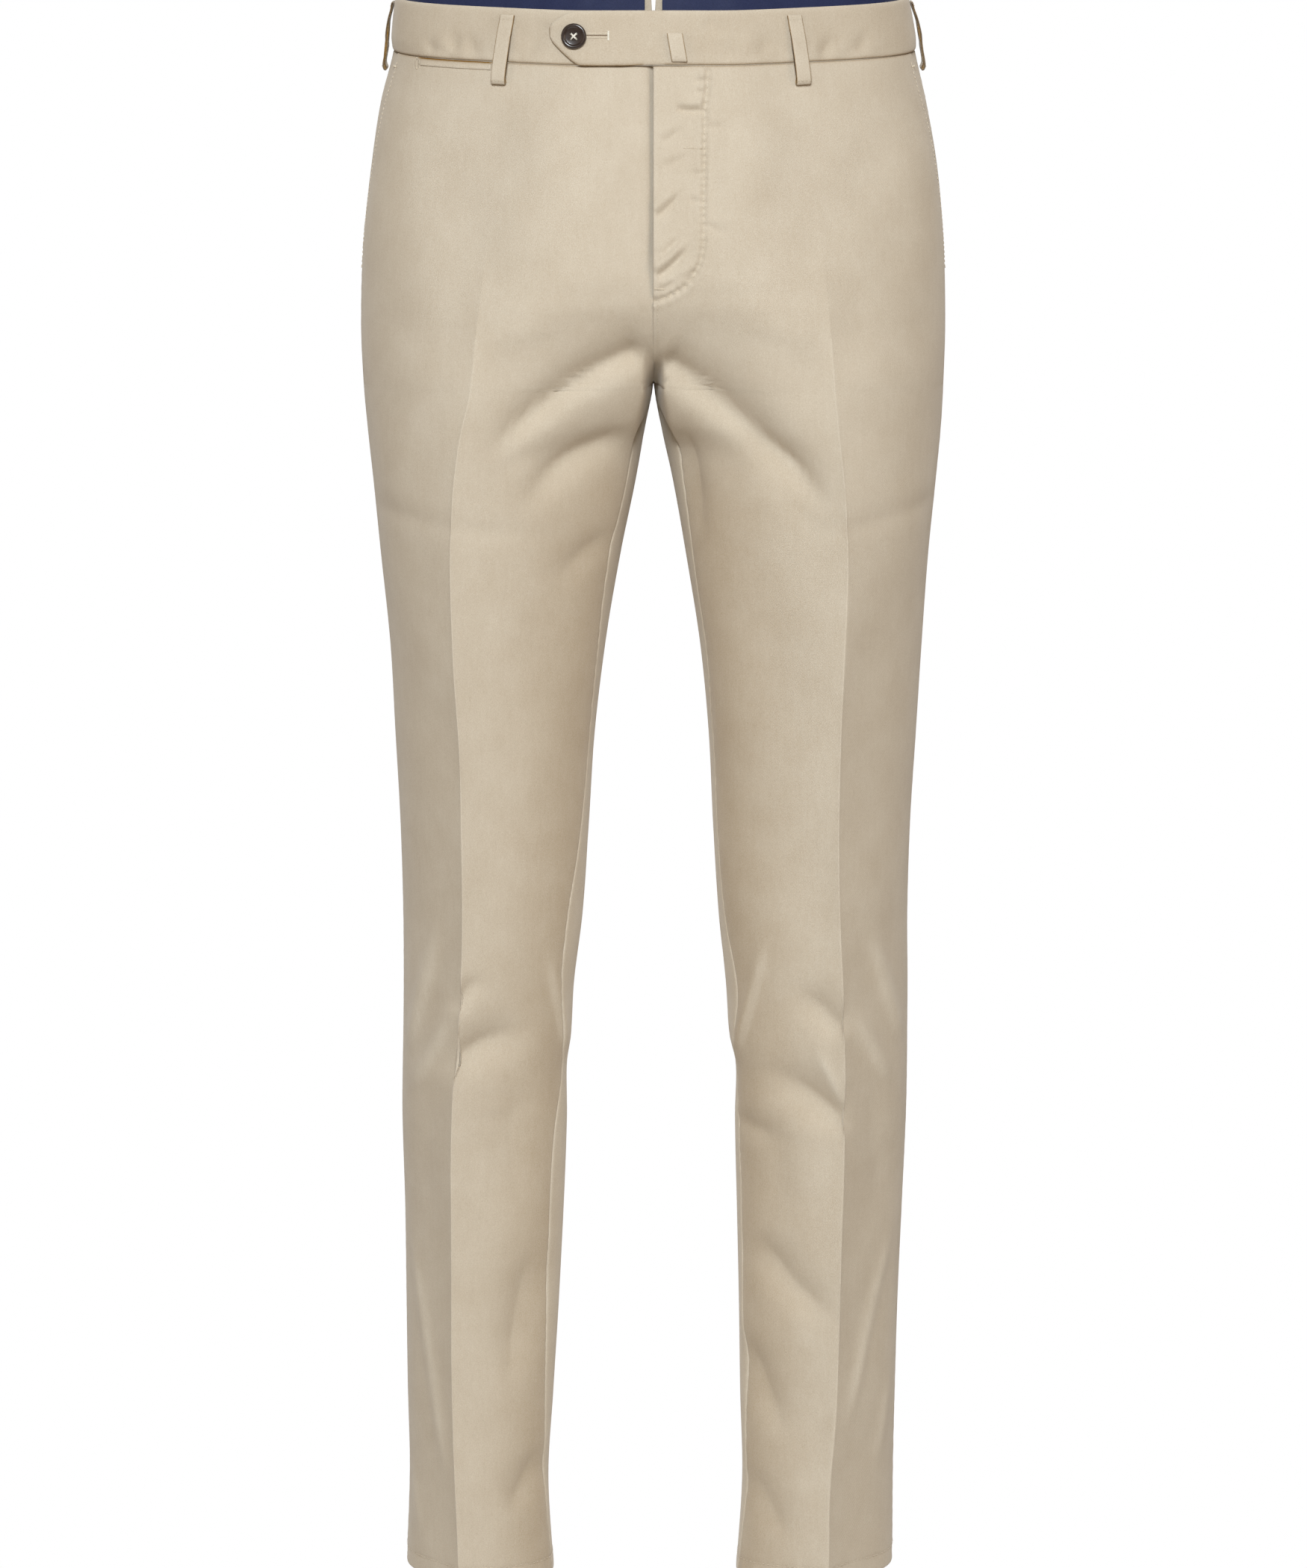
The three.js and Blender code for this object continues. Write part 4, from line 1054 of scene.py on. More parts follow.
BAND_DENTS = {
    -1: table(
        FOLD_COLUMNS,
        (134, 5, 133, 12, 130, 20, -0.7, 3, 4, 0.2, 0.6, 0.4),
        (146, 3, 148, 9, 152, 14, -0.5, 3, 3, 0.2, 0.6, 0.4),
        (118, 4, 121, 11, 122, 22, -0.5, 4, 6, 0.2, 0.6, 0.4),
        (84, 3, 80, 10, 78, 22, -0.4, 4, 6, 0.2, 0.6, 0.4),
        (70, 30, 76, 18, 86, 12, -0.4, 6, 6, 0.3, 0.5, 0.4),
    ),
    1: table(
        FOLD_COLUMNS,
        (52, 3, 50, 10, 46, 20, -0.5, 4, 6, 0.2, 0.6, 0.4),
        (70, 3, 72, 12, 78, 22, -0.4, 4, 6, 0.2, 0.6, 0.4),
        (112, 3, 114, 10, 120, 18, -0.6, 3, 5, 0.2, 0.6, 0.4),
        (136, 4, 138, 12, 144, 20, -0.5, 4, 5, 0.2, 0.6, 0.4),
        (34, 32, 40, 24, 52, 20, -0.4, 6, 6, 0.3, 0.5, 0.4),
    ),
}


def band(side, s, h, lift):
    """Points on the waistband, with its small dents in front."""
    s, h, lift = spread(s, h, lift)
    x = np.abs(bare(side, s, h)[..., 0])
    dents = np.where(s < 0.5, DENT_DEPTH * fold_field(BAND_DENTS[side], x, h), 0)
    ripple = RIPPLE * np.sin(x / 3.3 + 2 * np.sin(x / 17) + side) * bell(h - 3, 5)
    return cloth(side, s, h, BAND_PROUD + lift + dents + ripple)


def back_end(side, part):
    """Where the band ends at the notch, at a part of its height."""
    return share_at_x(side, mix(NOTCH_LOW, NOTCH_HIGH, part**2) / 2, BAND_HEIGHT * part, back=True)


def band_half(side):
    """Shares, levels and edge distances of a half's band."""
    h = GAP + BAND_ROWS
    start, end = np.full(h.shape, BAND_STARTS[side]), back_end(side, h / BAND_HEIGHT)
    s, from_front, from_back = across(side, h, start, end, SEAM_EDGE, SEAM_EDGE, 190)
    level = np.broadcast_to(h[:, None], s.shape)
    return s, level, from_front, from_back


def from_band_ends(level):
    return np.minimum(level - GAP, BAND_HEIGHT - level)


def band_faces(side, s, level, edge, lift=0.0):
    """Outer and inner grid of a part of the band, rounded towards its edges."""
    rounding = sink(edge, BAND_SINK)
    outer = band(side, s, level, lift - rounding)
    return outer, band(side, s, level, lift + 0.7 * rounding - BAND_WALL)


def sew_band(hand, outer, inner, edge, above_seam):
    """One half of the band, worn lighter along its edges, with painted shade along the waist seam and a
    little over all of it.
    """
    rows = np.arange(outer.shape[1])[None, :] * 2.4 + np.zeros(outer.shape[:2])
    uv = np.stack([rows, outer[..., 2]], -1)
    # Painted shade along the seam below, and a little painted shade over the whole band.
    wear_and_shade = np.exp(-edge / 1.5) - SEAM_SHADE * np.exp(-above_seam / 0.6) - 0.6
    return cloth_piece(f"band_{hand}", outer, inner, f"waistband_{hand}", uv, wear_and_shade)


s, level, from_front, from_back = band_half(-1)
edge = np.minimum(np.minimum(from_front, from_back), from_band_ends(level))
outer, inner = band_faces(-1, s, level, edge)
band_right = sew_band("right", outer, inner, edge, level - GAP)

s, level, from_front, from_back = band_half(1)
edge = np.minimum(from_back, from_band_ends(level))
step = TAB_LIFT * (1 - smooth(0.01, 0.09, s))
half_out, half_in = band_faces(1, s, level, edge, step)

tab_x = np.concatenate([[68.5, 68.3, 67.8, 67, 66], np.arange(64.5, 8, -1.5), [8]])
tab_low = np.interp(-tab_x, -TAB["x"], TAB["low"])
tab_high = np.interp(-tab_x, -TAB["x"], TAB["high"])
part = (BAND_ROWS / BAND_ROWS[-1])[:, None]
tab_level = tab_low + (tab_high - tab_low) * part
tab_s = share_at_x(-1, np.broadcast_to(tab_x, tab_level.shape), tab_level)
tab_seam = np.minimum((tab_level - tab_low) * TAB_SLANT, (TAB["x"][0] - tab_x) + 0 * tab_level)
tab_edge = np.minimum(tab_seam, (tab_high - tab_level) * TAB_SLANT)
tab_out, tab_in = band_faces(-1, tab_s, tab_level, tab_edge, TAB_LIFT)


def bridge(first, last, count):
    """Columns evenly between the last column of one grid and the first of the next."""
    t = np.linspace(0, 1, count + 2)[1:-1][None, :, None]
    return mix(first[:, -1:], last[:, :1], t)


outer = np.concatenate([tab_out, bridge(tab_out, half_out, BRIDGE), half_out], 1)
inner = np.concatenate([tab_in, bridge(tab_in, half_in, BRIDGE), half_in], 1)
bridged = np.full((len(part), BRIDGE), 9.0)
edge = np.concatenate([tab_edge, bridged, edge], 1)
# The painted seam shade also runs along the tab's lower edge and its tip.
above_seam = np.concatenate([tab_seam, bridged, level - GAP], 1)
band_left = sew_band("left", outer, inner, edge, above_seam)

# %% [markdown]
# Inside the back of the band lies a navy lining, slack enough to ripple a little. The side pockets show a
# facing behind their mouths, and a shield closes the fly from behind.

# %% Lining, pocket facings and fly shield


def band_lining(side, hand):
    """The navy strip inside the back of one half of the band."""
    h = BAND_HEIGHT * np.linspace(0.06, 0.92, 15)
    near = share_at_x(side, 6, h, back=True)
    s, start, end = across(side, h, np.full(h.shape, 0.5), near, [0, 0.8, 2], [0, 0.8, 2], 110)
    level = np.broadcast_to(h[:, None], s.shape)
    slack = 0.25 * np.sin(start / 4.1 + 2 * np.sin(start / 23 + side)) * np.sin(level / 11 + 1)
    outer = band(side, s, level, slack - BAND_WALL - 0.75)
    inner = band(side, s, level, slack - BAND_WALL - 1.6)
    uv = np.stack([start, level], -1)
    name, node = f"waist_lining_{hand}", f"waistband_lining_{hand}"
    piece = cloth_piece(name, outer, inner, node, uv, material=LINING)


FACING_REACH = 0.03
FACING_DEPTH = 1.35


def side_facing(side, hand):
    """The cloth behind a side pocket's mouth, deepest under the mouth."""
    h = np.concatenate([np.arange(POCKET_END + 4, -4, 4.0), [-2.5, -1]])
    start = mouth_share(h) - FACING_REACH
    s, from_start, from_seam = across(side, h, start, np.full(h.shape, 0.5), [0, 1], SEAM_EDGE, 16)
    level = np.broadcast_to(h[:, None], s.shape)
    mouth = mouth_share(level)
    depth = mix(FACING_DEPTH, 0.05, smooth(mouth, np.maximum(mouth + 0.003, 0.497), s)) + sink(from_seam)
    outer = cloth(side, s, level, -depth)
    inner = cloth(side, s, level, -depth - 1)
    name, node = f"pocket_facing_cloth_{hand}", f"pocket_facing_{hand}"
    uv = np.stack([from_start, level], -1)
    piece = cloth_piece(name, outer, inner, node, uv, np.exp(-from_seam / 1.5))


for side, hand in SIDES.items():
    band_lining(side, hand)
    side_facing(side, hand)

SHIELD_TOP, SHIELD_FOOT = -3, FLY_END + 12
shield_levels = np.arange(SHIELD_FOOT, SHIELD_TOP + 1, 4.0)[:, None]
right_x, left_x = np.linspace(14, 1, 8)[None], np.linspace(3, 25, 12)[None]


def shield_grid(depth):
    """Points from the right front across to the left, so far behind both."""
    right = cloth(-1, share_at_x(-1, right_x + 0 * shield_levels, shield_levels), shield_levels, -depth)
    left = cloth(1, share_at_x(1, left_x + 0 * shield_levels, shield_levels), shield_levels, -depth - 2)
    return np.concatenate([right, bridge(right, left, 3), left], 1)


shield = cloth_piece("fly_shield_cloth", shield_grid(3.2), shield_grid(4.3), "fly_shield")

# %% [markdown]
# A belt loop is a strap sewn down at its head and foot, which stands off the band between them. Its side
# view is a closed outline of levels and distances, rounded off and swept over its width.

# %% Belt loops and the keeper
LOOP_WIDTH = 10.4
ON_BAND = BAND_PROUD + 0.2
LOOP_OUTLINE = [
    (30.6, 0.35), (31.5, 0.6), (31.6, 1.5), (30.6, 2.1), (28.4, 2.15), (26, 2.3), (21, 3.3), (14, 4.0),
    (6, 4.4), (-2, 4.6), (-9, 4.5), (-12.6, 4.0), (-14.8, 2.6), (-15.2, 1.2), (-14.6, 0.3), (-12.4, 0.3),
    (-11.6, 1.2), (-9.4, 2.6), (-2, 3.0), (6, 2.8), (14, 2.4), (21, 1.7), (26, 0.8), (28.4, 0.5),
]


def rounded(outline):
    """An outline with its corners cut off, twice over, so that it bends smoothly."""
    ring = np.array(outline, float)
    for _ in range(2):
        after = np.roll(ring, -1, axis=0)
        ring = np.stack([mix(ring, after, 0.25), mix(ring, after, 0.75)], 1).reshape(-1, 2)
    return ring


def inset(ring, distance):
    """A ring moved inwards by a distance."""
    along = np.roll(ring, -1, 0) - np.roll(ring, 1, 0)
    normal = np.stack([-along[:, 1], along[:, 0]], 1)
    normal /= np.maximum(np.linalg.norm(normal, axis=1, keepdims=True), 1e-6)
    area = np.sum(ring[:, 0] * np.roll(ring[:, 1], -1) - np.roll(ring[:, 0], -1) * ring[:, 1])
    return ring + normal * distance * np.sign(area)


STRAP_ACROSS = [-0.5, -0.475, -0.43, -0.36, -0.2, 0, 0.2, 0.36, 0.43, 0.475, 0.5]
STRAP_INSET = [0.42, 0.16, 0.03, 0, 0, 0, 0, 0, 0.03, 0.16, 0.42]
# Painted shade on each strap's outermost rings round its edges, and lighter worn rings just inside.
STRAP_SHADE_AND_WEAR = [-6, -4, 0.4, 0.1, 0, 0, 0, 0.1, 0.4, -4, -6]


def strap(name, side, outline, centre, lift, node):
    """Sweeps a strap's side view over its width, round a centre given as a share at each level."""
    ring = rounded(outline)
    count = len(ring)
    rings = []
    for k, pull in zip(STRAP_ACROSS, STRAP_INSET):
        h, off = inset(ring, pull).T
        rings.append(cloth(side, beside(side, centre(h), h, k * LOOP_WIDTH), h, off + lift))
    number = np.arange(len(rings) * count).reshape(len(rings), count)
    faces = ring_faces(number)
    caps = tessellate_polygon([[Vector((h, off, 0)) for h, off in ring]])
    faces += [[number[0][i] for i in cap] for cap in caps]
    faces += [[number[-1][i] for i in reversed(cap)] for cap in caps]
    uv = np.concatenate([np.stack([np.full(count, k * LOOP_WIDTH), ring[:, 0]], 1) for k in STRAP_ACROSS])
    wear_and_shade = np.repeat(STRAP_SHADE_AND_WEAR, count)
    mesh = solid_mesh(name, np.concatenate(rings), faces, uv, wear_and_shade)
    return make(name, mesh, CLOTH, node=node)


# each loop's side, where its middle lies at its head and foot, and whether it is at the back
LOOPS = [(-1, 96, 102, False), (1, 92.5, 98.5, False), (-1, 62, 62, True), (1, 62, 62, True)]
LOOP_HEAD, LOOP_FOOT = 31, -15
SIDE_LOOP = 0.508


def loop_centre(side, head, foot, back):
    """A function that gives the share of a loop's middle at levels h."""

    def centre(h):
        x = mix(foot, head, (h - LOOP_FOOT) / (LOOP_HEAD - LOOP_FOOT))
        return share_at_x(side, x, h, back)

    return centre


loops = {}
for side, head, foot, back in LOOPS:
    name = f"belt_loop_{'back' if back else 'front'}_{SIDES[side]}"
    loops[name] = (side, loop_centre(side, head, foot, back))
for side, hand in SIDES.items():
    loops[f"belt_loop_side_{hand}"] = (side, lambda h: np.full(np.shape(h), SIDE_LOOP))
for name, (side, centre) in loops.items():
    piece = strap(f"{name}_strap", side, LOOP_OUTLINE, centre, ON_BAND, name)
print("belt loops:", len(loops), "cloth:", round(half_area(piece), 5), "m2 each")

KEEPER_OUTLINE = [
    (19.4, 0.25), (20.6, 0.3), (21.4, 0.9), (21.3, 2.2), (20.2, 2.9), (16, 3.3), (9, 3.2), (5, 2.8),
    (2.6, 2.0), (1.9, 1.0), (2.1, 0.3), (3.6, 0.25), (5.6, 1.2), (9, 1.7), (16, 1.7), (18.4, 1.2),
]
KEEPER_HEAD, KEEPER_FOOT = (21, 14.3), (2, 17.6)


def keeper_centre(h):
    t = (h - KEEPER_FOOT[0]) / (KEEPER_HEAD[0] - KEEPER_FOOT[0])
    return share_at_x(1, mix(KEEPER_FOOT[1], KEEPER_HEAD[1], t), h)


keeper_lift = TAB_LIFT * (1 - smooth(0.01, 0.09, keeper_centre(np.array(10.0)))) + BAND_PROUD
keeper_lift = float(keeper_lift) + 0.4
keeper = strap("prong_keeper_strap", 1, KEEPER_OUTLINE, keeper_centre, keeper_lift, "prong_keeper")
print("keeper cloth:", round(half_area(keeper), 5), "m2")

# %% [markdown]
# The coin pocket is only a folded edge under the waist seam. Each back pocket is closed by two narrow lips
# that meet at its mouth.

# %% Coin pocket and back pockets


def strip(name, side, x_from, x_to, low, high, mouth, thick, back, node):
    """A narrow folded strip that lies on a panel, with rounded worn edges and painted shade along its
    mouth.
    """
    height, length = high - low, x_to - x_from
    row_ends, column_ends = np.array([0, 0.2, 0.5, 1]), np.array([0, 0.25, 0.7])
    rows = np.concatenate([row_ends, np.linspace(1.4, height - 1.4, 4), height - row_ends])
    columns = np.concatenate([column_ends, np.linspace(1.5, length - 1.5, 56), length - column_ends])
    h = (low + np.sort(rows))[:, None] + 0 * columns
    x = x_from + np.sort(columns) + 0 * h
    s = share_at_x(side, x, h, back)
    edge = np.minimum(np.minimum(h - low, high - h), np.minimum(x - x_from, x_to - x))
    rounding = np.interp(edge, [0, 0.2, 0.5, 1], [0.5, 0.22, 0.06, 0]) * thick
    lumps = 0.08 * np.sin(x / 2.3 + 2 * np.sin(x / 9))
    outer = cloth(side, s, h, 0.2 + thick - rounding + lumps)
    inner = cloth(side, s, h, 0.08 + 0.2 * rounding)
    # Lighter worn edges, and painted shade along the mouth.
    wear_and_shade = np.exp(-edge / 0.8) - MOUTH_SHADE * np.exp(-np.abs(h - mouth) / 0.7)
    piece = cloth_piece(name, outer, inner, node, np.stack([x, h], -1), wear_and_shade)
    length * MM
    round(max(height, 4.4) * length * MM * MM, 6)


coin_mouth = (COIN_FROM, COIN_TO, COIN_LOW, COIN_HIGH, COIN_HIGH)
strip("coin_pocket_fold", -1, *coin_mouth, 0.9, False, "coin_pocket_edge")
LIP_FROM, LIP_TO, LIP_LEVEL, LIP_HEIGHT, LIP_THICK = 38, 150, -62, 5.5, 1
for side, hand in SIDES.items():
    for place, low in (("upper", LIP_LEVEL + 0.15), ("lower", LIP_LEVEL - LIP_HEIGHT)):
        lip_mouth = (LIP_FROM, LIP_TO, low, low + LIP_HEIGHT, LIP_LEVEL)
        node = f"back_pocket_{place}_lip_{hand}"
        strip(f"{node}_cloth", side, *lip_mouth, LIP_THICK, True, node)

# %% [markdown]
# Stitches repeat, so Geometry Nodes set them: a line of points on the cloth becomes a curve, the curve is
# divided by the pitch, and each point gets one rounded stitch, turned along the line and out of the cloth.

# %% Sewing machine
SEWING_INPUTS = ("Pitch", "Length", "Radius", "Turn", "Unevenness")


def sewing_tree():
    """The nodes that set a stitch at every pitch along a line of points."""
    tree = bpy.data.node_groups.new("sewing", "GeometryNodeTree")
    tree.interface.new_socket("Geometry", in_out="INPUT", socket_type="NodeSocketGeometry")
    for name in SEWING_INPUTS:
        tree.interface.new_socket(name, in_out="INPUT", socket_type="NodeSocketFloat")
    tree.interface.new_socket("Material", in_out="INPUT", socket_type="NodeSocketMaterial")
    tree.interface.new_socket("Geometry", in_out="OUTPUT", socket_type="NodeSocketGeometry")

    node = functools.partial(add_node, tree)
    given = tree.nodes.new("NodeGroupInput").outputs
    line = node("GeometryNodeMeshToCurve", {0: given["Geometry"]})
    points = node("GeometryNodeResampleCurve", {"Curve": line, "Length": given["Pitch"]}, mode="LENGTH")
    tangent = node("GeometryNodeInputTangent", {})
    out = node("GeometryNodeInputNamedAttribute", {"Name": "out"}, data_type="FLOAT_VECTOR")
    along = node("FunctionNodeAlignRotationToVector", {"Vector": tangent}, axis="X")
    towards_out = {"Rotation": along, "Vector": out}
    upright = node("FunctionNodeAlignRotationToVector", towards_out, axis="Z", pivot_axis="X")
    limits = {"Min": (-0.5,) * 3, "Max": (0.5,) * 3, "Seed": 5}
    wobble = node("FunctionNodeRandomValue", limits, data_type="FLOAT_VECTOR")
    uneven = node("ShaderNodeVectorMath", {0: wobble, "Scale": given["Unevenness"]}, operation="SCALE")
    turn = node("ShaderNodeCombineXYZ", {"Z": given["Turn"]})
    angles = node("ShaderNodeVectorMath", {0: uneven, 1: turn}, operation="ADD")
    local = node("FunctionNodeEulerToRotation", {0: angles})
    turned = node("FunctionNodeRotateRotation", {0: upright, 1: local}, rotation_space="LOCAL")
    stitch = node("GeometryNodeMeshUVSphere", {"Segments": 8, "Rings": 5, "Radius": 1.0})
    half = node("ShaderNodeMath", {0: given["Length"], 1: 0.5}, operation="MULTIPLY")
    size = node("ShaderNodeCombineXYZ", {"X": half, "Y": given["Radius"], "Z": given["Radius"]})
    placing = {"Points": points, "Instance": stitch, "Rotation": turned, "Scale": size}
    sewn = node("GeometryNodeInstanceOnPoints", placing)
    real = node("GeometryNodeRealizeInstances", {0: sewn})
    smooth_faces = node("GeometryNodeSetShadeSmooth", {0: real})
    painted = node("GeometryNodeSetMaterial", {"Geometry": smooth_faces, "Material": given["Material"]})
    tree.links.new(painted, tree.nodes.new("NodeGroupOutput").inputs["Geometry"])
    return tree


SEWING = sewing_tree()


def share_line(side, shares, hs, lift):
    """Points of a half's surface at shares and levels, with the outward directions."""
    return cloth(side, shares, hs, lift), outward(side, shares, hs)


def surface_line(side, xs, hs, lift, back=False, step=1.0):
    """Points of a smooth line on a half's surface through x, h marks, with the outward directions."""
    marks = np.stack([np.asarray(xs, float), np.asarray(hs, float)], 1)
    lengths = np.concatenate([[0], np.cumsum(np.linalg.norm(np.diff(marks, axis=0), axis=1))])
    wanted = np.linspace(0, lengths[-1], max(2, int(lengths[-1] / step) + 1))
    x, h = np.interp(wanted, lengths, marks[:, 0]), np.interp(wanted, lengths, marks[:, 1])
    return share_line(side, share_at_x(side, x, h, back), h, lift)


def sew(name, lines, pitch, length, radius, turn=0.0, material=THREAD, unevenness=0.12):
    """Sews stitches along lines of points, in millimetres, as one plain mesh."""
    points, outs, edges, first = [], [], [], 0
    for line, out in lines:
        points.append(line * MM)
        outs.append(out)
        edges += [(first + i, first + i + 1) for i in range(len(line) - 1)]
        first += len(line)
    mesh = bpy.data.meshes.new(f"{name}_line")
    mesh.from_pydata(np.concatenate(points).tolist(), edges, [])
    upwards = mesh.attributes.new("out", "FLOAT_VECTOR", "POINT")
    upwards.data.foreach_set("vector", np.concatenate(outs).ravel())
    line_object = bpy.data.objects.new(f"{name}_line", mesh)
    scene.collection.objects.link(line_object)
    modifier = line_object.modifiers.new("sewing", "NODES")
    modifier.node_group = SEWING
    values = {
        "Pitch": pitch * MM,
        "Length": length * MM,
        "Radius": radius * MM,
        "Turn": turn,
        "Unevenness": unevenness,
        "Material": material,
    }
    for item in SEWING.interface.items_tree:
        if item.in_out == "INPUT" and item.name in values:
            modifier[item.identifier] = values[item.name]
    bpy.context.view_layer.update()
    evaluated = line_object.evaluated_get(bpy.context.evaluated_depsgraph_get())
    sewn = bpy.data.meshes.new_from_object(evaluated)
    bpy.data.objects.remove(line_object)
    sewn.name = name
    if not sewn.materials:
        sewn.materials.append(material)
    piece = bpy.data.objects.new(name, sewn)
    scene.collection.objects.link(piece)
    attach(piece, "root")
    print(name, "faces:", len(sewn.polygons))


ACROSS = math.pi / 2
print("sewing nodes:", len(SEWING.nodes))

# %% [markdown]
# Topstitching: the fly's curve, a few stitches that hold the fly's layers, the seam below it, the pocket
# edges, the coin pocket and the hems. Short dense rows across a line are bar tacks.

# %% Stitching
fly_line = surface_line(1, FLY_STITCHES[:, 0], FLY_STITCHES[:, 1], 0.25)
sew("fly_stitching", [fly_line], STITCH_PITCH / 2, 1.9, 0.24)
sew("fly_hold", [surface_line(1, [20.5, 31.1], [-57.4, -57.8], 0.3)], 2.6, 2.2, 0.26)
sew("fly_seam_stitching", [surface_line(1, [2.6, 2.6], [-167, -194], 0.3)], 2.4, 1.7, 0.2)
fly_foot = surface_line(1, [0.9, 7.4], [-155.8, -156.6], 0.35, step=0.5)
sew("fly_tack", [fly_foot], 0.42, 1.6, 0.24, ACROSS, unevenness=0.3)

for side, hand in SIDES.items():
    around = np.linspace(0, 1, 241) + 0.002
    sew(f"hem_stitching_{hand}", [share_line(side, around, HEM + HEM_STITCH, 0.15)], 3.6, 2.2, 0.24)
    mouth_levels = np.linspace(-7, POCKET_END + 4, 60)
    mouth = beside(side, mouth_share(mouth_levels), mouth_levels, -5.0)
    sew(f"pocket_stitching_{hand}", [share_line(side, mouth, mouth_levels, 0.1)], 3.2, 2.1, 0.24)
    tacks = []
    for level in (-9, POCKET_END + 3):
        s0 = float(mouth_share(np.array(level)))
        shares = beside(side, np.full(13, s0), np.full(13, float(level)), np.linspace(-5.5, -0.2, 13))
        tacks.append(share_line(side, shares, float(level), 0.3))
    sew(f"pocket_tacks_{hand}", tacks, 0.42, 1.7, 0.24, ACROSS, unevenness=0.3)
    over_lips = [LIP_LEVEL + LIP_HEIGHT, LIP_LEVEL - LIP_HEIGHT]
    ends = [surface_line(side, [x, x], over_lips, 1.35, True, 0.5) for x in (LIP_FROM + 0.8, LIP_TO - 0.8)]
    sew(f"back_pocket_tacks_{hand}", ends, 0.45, 1.8, 0.24, ACROSS, unevenness=0.3)

sew("coin_pocket_stitching", [surface_line(-1, [106.5, 156.5], [-4.4, -4.4], 1.15)], 1.9, 1.2, 0.22)
turn = np.linspace(0.3, 2 * math.pi + 0.3, 40)
oval = surface_line(-1, 158.4 + 1.1 * np.cos(turn), -4.4 + 3.6 * np.sin(turn), 0.4, step=0.3)
sew("coin_pocket_tack", [oval], 0.5, 1.0, 0.22, ACROSS, unevenness=0.4)

for name, (side, centre) in loops.items():
    rows = []
    for level, lift in ((28.6, 2.3), (-12.9, 4.0)):
        h = np.full(9, level)
        shares = beside(side, centre(h), h, np.linspace(-0.4, 0.4, 9) * LOOP_WIDTH)
        rows.append(share_line(side, shares, h, lift + ON_BAND))
    sew(f"{name}_stitching", rows, 2.1, 1.5, 0.22)

# %% [markdown]
# The button is turned: a rim round a shallow well with four holes, sewn on with cream thread that crosses
# in the middle. Dark stitches paint the shade in the buttonhole's slit, between whipped edges, with a bar
# at its far end.

# %% Button and buttonhole
BUTTON_X, BUTTON_LEVEL = 52, 19
BUTTON_PROFILE = [
    (5.3, 1.45), (5.7, 1.55), (6.2, 2.1), (7, 2.45), (7.8, 2.3), (8.3, 1.8), (8.5, 1.2), (8.2, 0.5),
    (7.4, 0),
]
HOLE_RADIUS, HOLE_SPACING, WELL = 0.95, 3.4, 1.45
ON_TAB = BAND_PROUD + TAB_LIFT
SEAT_LIFT = ON_TAB + 0.35
BUTTON_THREAD_RADIUS = 0.34


def ring_points(radius, count, centre=(0, 0)):
    turn = np.linspace(0, 2 * math.pi, count, endpoint=False)
    return np.stack([centre[0] + radius * np.cos(turn), centre[1] + radius * np.sin(turn)], 1)


def turned_button():
    """Points and faces of the button, lying flat with its back at 0."""
    count, points = 64, []
    for radius, height in BUTTON_PROFILE:
        points += [(x, y, height) for x, y in ring_points(radius, count)]
    number = np.arange(len(points)).reshape(-1, count)
    faces = ring_faces(number)
    hole_count = 18
    centres = [(i * HOLE_SPACING / 2, j * HOLE_SPACING / 2) for i in (-1, 1) for j in (-1, 1)]
    holes = [ring_points(HOLE_RADIUS, hole_count, centre) for centre in centres]
    first = len(points)
    for height in (WELL, 0):
        for hole in holes:
            points += [(x, y, height) for x, y in hole]
    for top in range(first, first + 4 * hole_count, hole_count):
        low = top + 4 * hole_count
        for i in range(hole_count):
            following = (i + 1) % hole_count
            faces.append([top + i, top + following, low + following, low + i])
    for outer, offset in ((0, 0), (len(BUTTON_PROFILE) - 1, 4 * hole_count)):
        loops_2d = [[Vector((*points[number[outer][i]][:2], 0)) for i in range(count)]]
        index = list(number[outer])
        for k, hole in enumerate(holes):
            loops_2d.append([Vector((x, y, 0)) for x, y in hole])
            index += [first + offset + k * hole_count + i for i in range(hole_count)]
        faces += [[int(index[i]) for i in triangle] for triangle in tessellate_polygon(loops_2d)]
    return np.array(points, float), faces


seat_share = share_at_x(-1, float(BUTTON_X), float(BUTTON_LEVEL))
seat = cloth(-1, seat_share, float(BUTTON_LEVEL), SEAT_LIFT)
seat_out = unit(outward(-1, seat_share, float(BUTTON_LEVEL)))
seat_across = unit(np.cross([0, 0, 1], seat_out))
seat_up = np.cross(seat_out, seat_across)


def on_seat(points):
    """Points given beside the button's middle, moved on to the tab."""
    x, y, z = np.asarray(points, float).T
    return seat + x[:, None] * seat_across + y[:, None] * seat_up + z[:, None] * seat_out


points, faces = turned_button()
button_mesh = solid_mesh("button_disc", on_seat(points), faces)
shell = bmesh.new()
shell.from_mesh(button_mesh)
bmesh.ops.recalc_face_normals(shell, faces=shell.faces)
shell.to_mesh(button_mesh)
shell.free()
make("button_disc", button_mesh, HORN, "waist_button")
button_mesh.set_sharp_from_angle(angle=math.radians(50))


def thread_between(a, b, over):
    """A stitch over the well from hole to hole, which dips into both and clears the ones below it."""
    t = np.linspace(0, 1, 13)
    rise = WELL - 0.9 + (1.25 + over) * np.sin(math.pi * t) ** 0.5
    return np.stack([mix(a[0], b[0], t), mix(a[1], b[1], t), rise], 1)


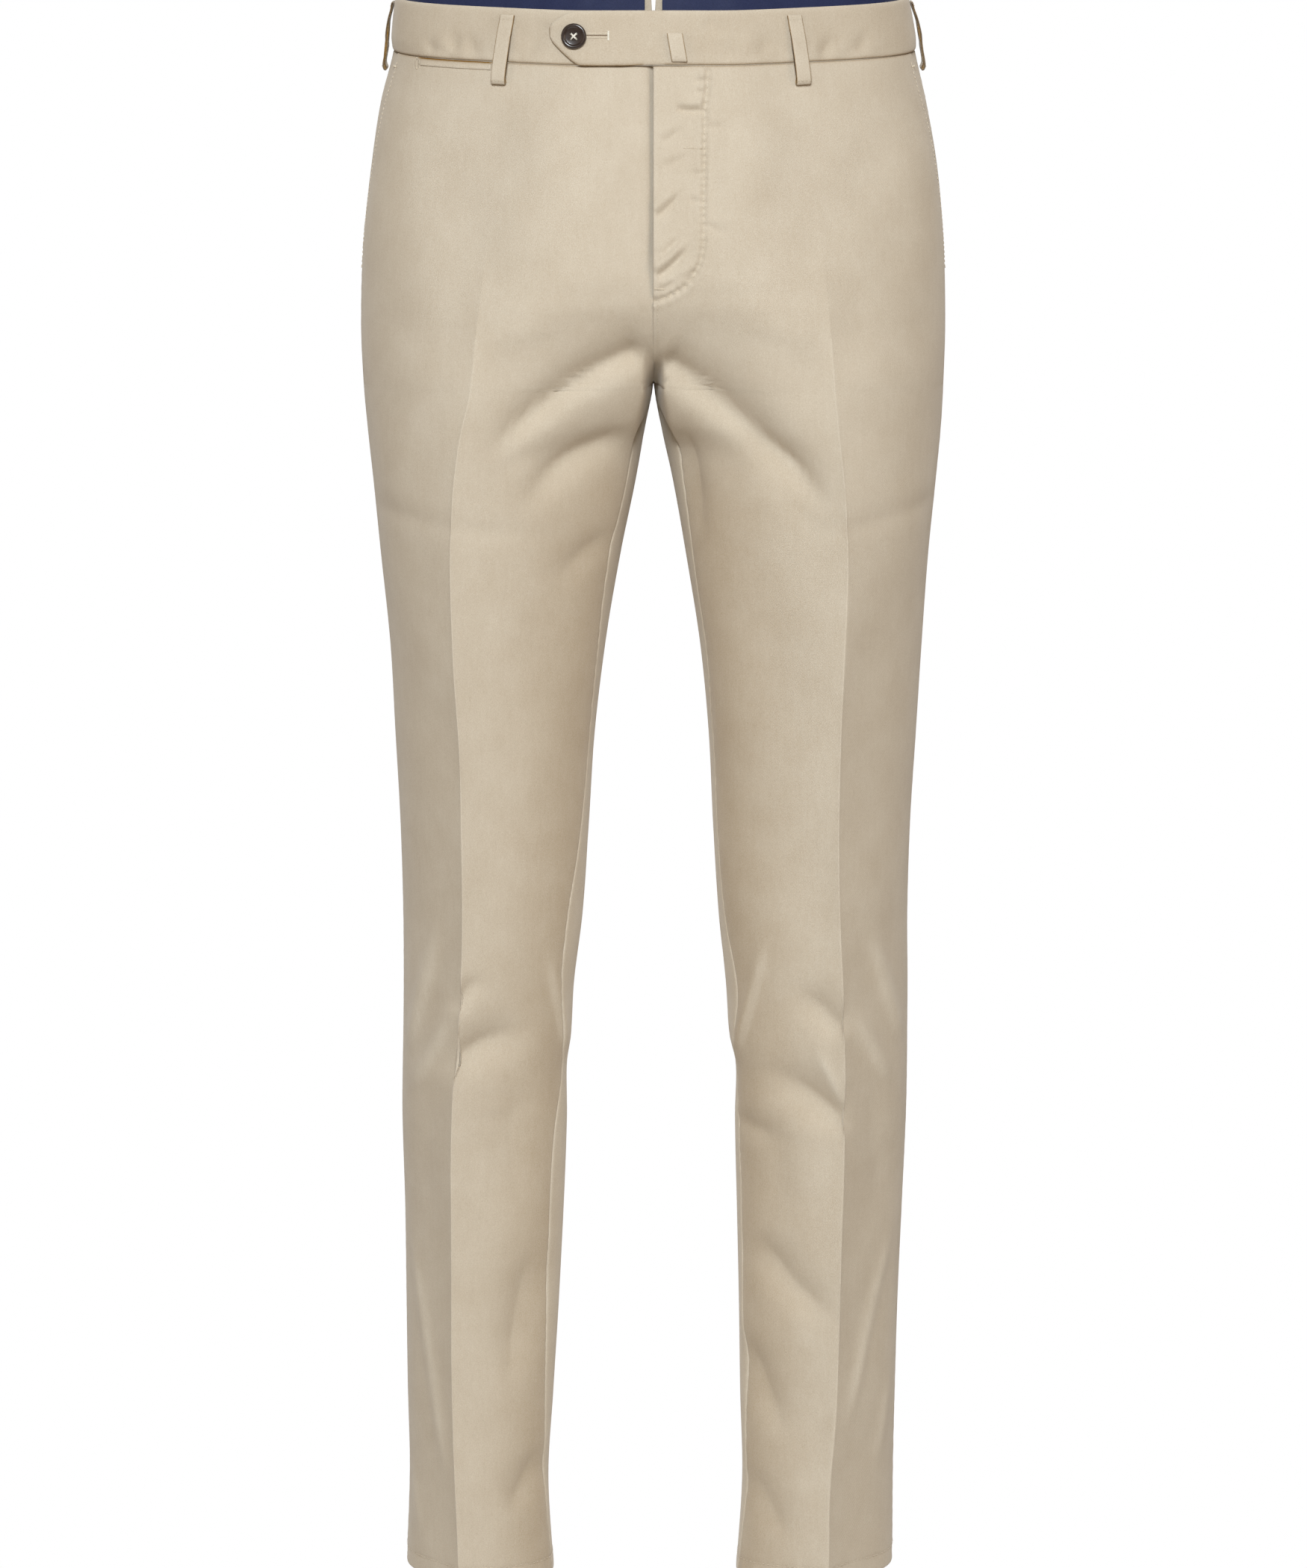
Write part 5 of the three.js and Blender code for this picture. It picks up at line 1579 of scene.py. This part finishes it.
def tube(line, radius):
    """Points and faces of a round thread along a line."""
    sides = 8
    along = unit(np.gradient(line, axis=0))
    aside = unit(np.cross(along, seat_out + 0.01))
    third = np.cross(along, aside)
    turn = np.linspace(0, 2 * math.pi, sides, endpoint=False)
    round_it = aside[:, None] * np.cos(turn)[:, None] + third[:, None] * np.sin(turn)[:, None]
    rings = line[:, None] + radius * round_it
    number = np.arange(len(line) * sides).reshape(len(line), sides)
    return rings.reshape(-1, 3), ring_faces(number) + [list(number[0]), list(number[-1][::-1])]


def join_tubes(name, lines, radius):
    """One cream piece made of round threads along several lines."""
    points, faces, first = [], [], 0
    for line in lines:
        thread, sides = tube(line, radius)
        points.append(thread)
        faces += [[int(first + i) for i in face] for face in sides]
        first += len(thread)
    make(name, solid_mesh(name, np.concatenate(points), faces), CREAM)


hole = HOLE_SPACING / 2
thread_lines = [
    on_seat(thread_between((-hole, -rising * hole + off), (hole, rising * hole + off), over))
    for rising, over in ((1, 0), (-1, 0.55))
    for off in (-0.35, 0.35)
]
join_tubes("button_thread", thread_lines, BUTTON_THREAD_RADIUS)

SLIT_FROM, SLIT_TO, SLIT_HALF = 44.6, 30.6, 1.25
SLIT_LEVEL = BUTTON_LEVEL + 0.6


def along_slit(off, lift):
    """A line along the buttonhole's slit, at a distance above it and a lift off the tab."""
    x = np.linspace(SLIT_FROM, SLIT_TO, 29)
    return surface_line(-1, x, SLIT_LEVEL + off + 0 * x, ON_TAB + lift, step=0.5)


# Dark stitches along the slit paint the shade in its opening.
sew("buttonhole_slit_shade", [along_slit(0, 0.05)], 1.3, 1.9, 0.34, 0.0, SLIT_SHADE, 0.1)
whipped = [along_slit(SLIT_HALF, 0.1), along_slit(-SLIT_HALF, 0.1)]
sew("buttonhole_whipping", whipped, 0.48, 1.5, 0.3, ACROSS, THREAD, 0.25)
end_bar = surface_line(-1, [29.9, 29.9], [16.6, 22.4], ON_TAB + 0.25, step=0.5)
sew("buttonhole_bar", [end_bar], 0.45, 1.6, 0.32, ACROSS, CREAM, 0.3)

# %% Finish
bpy.context.view_layer.update()
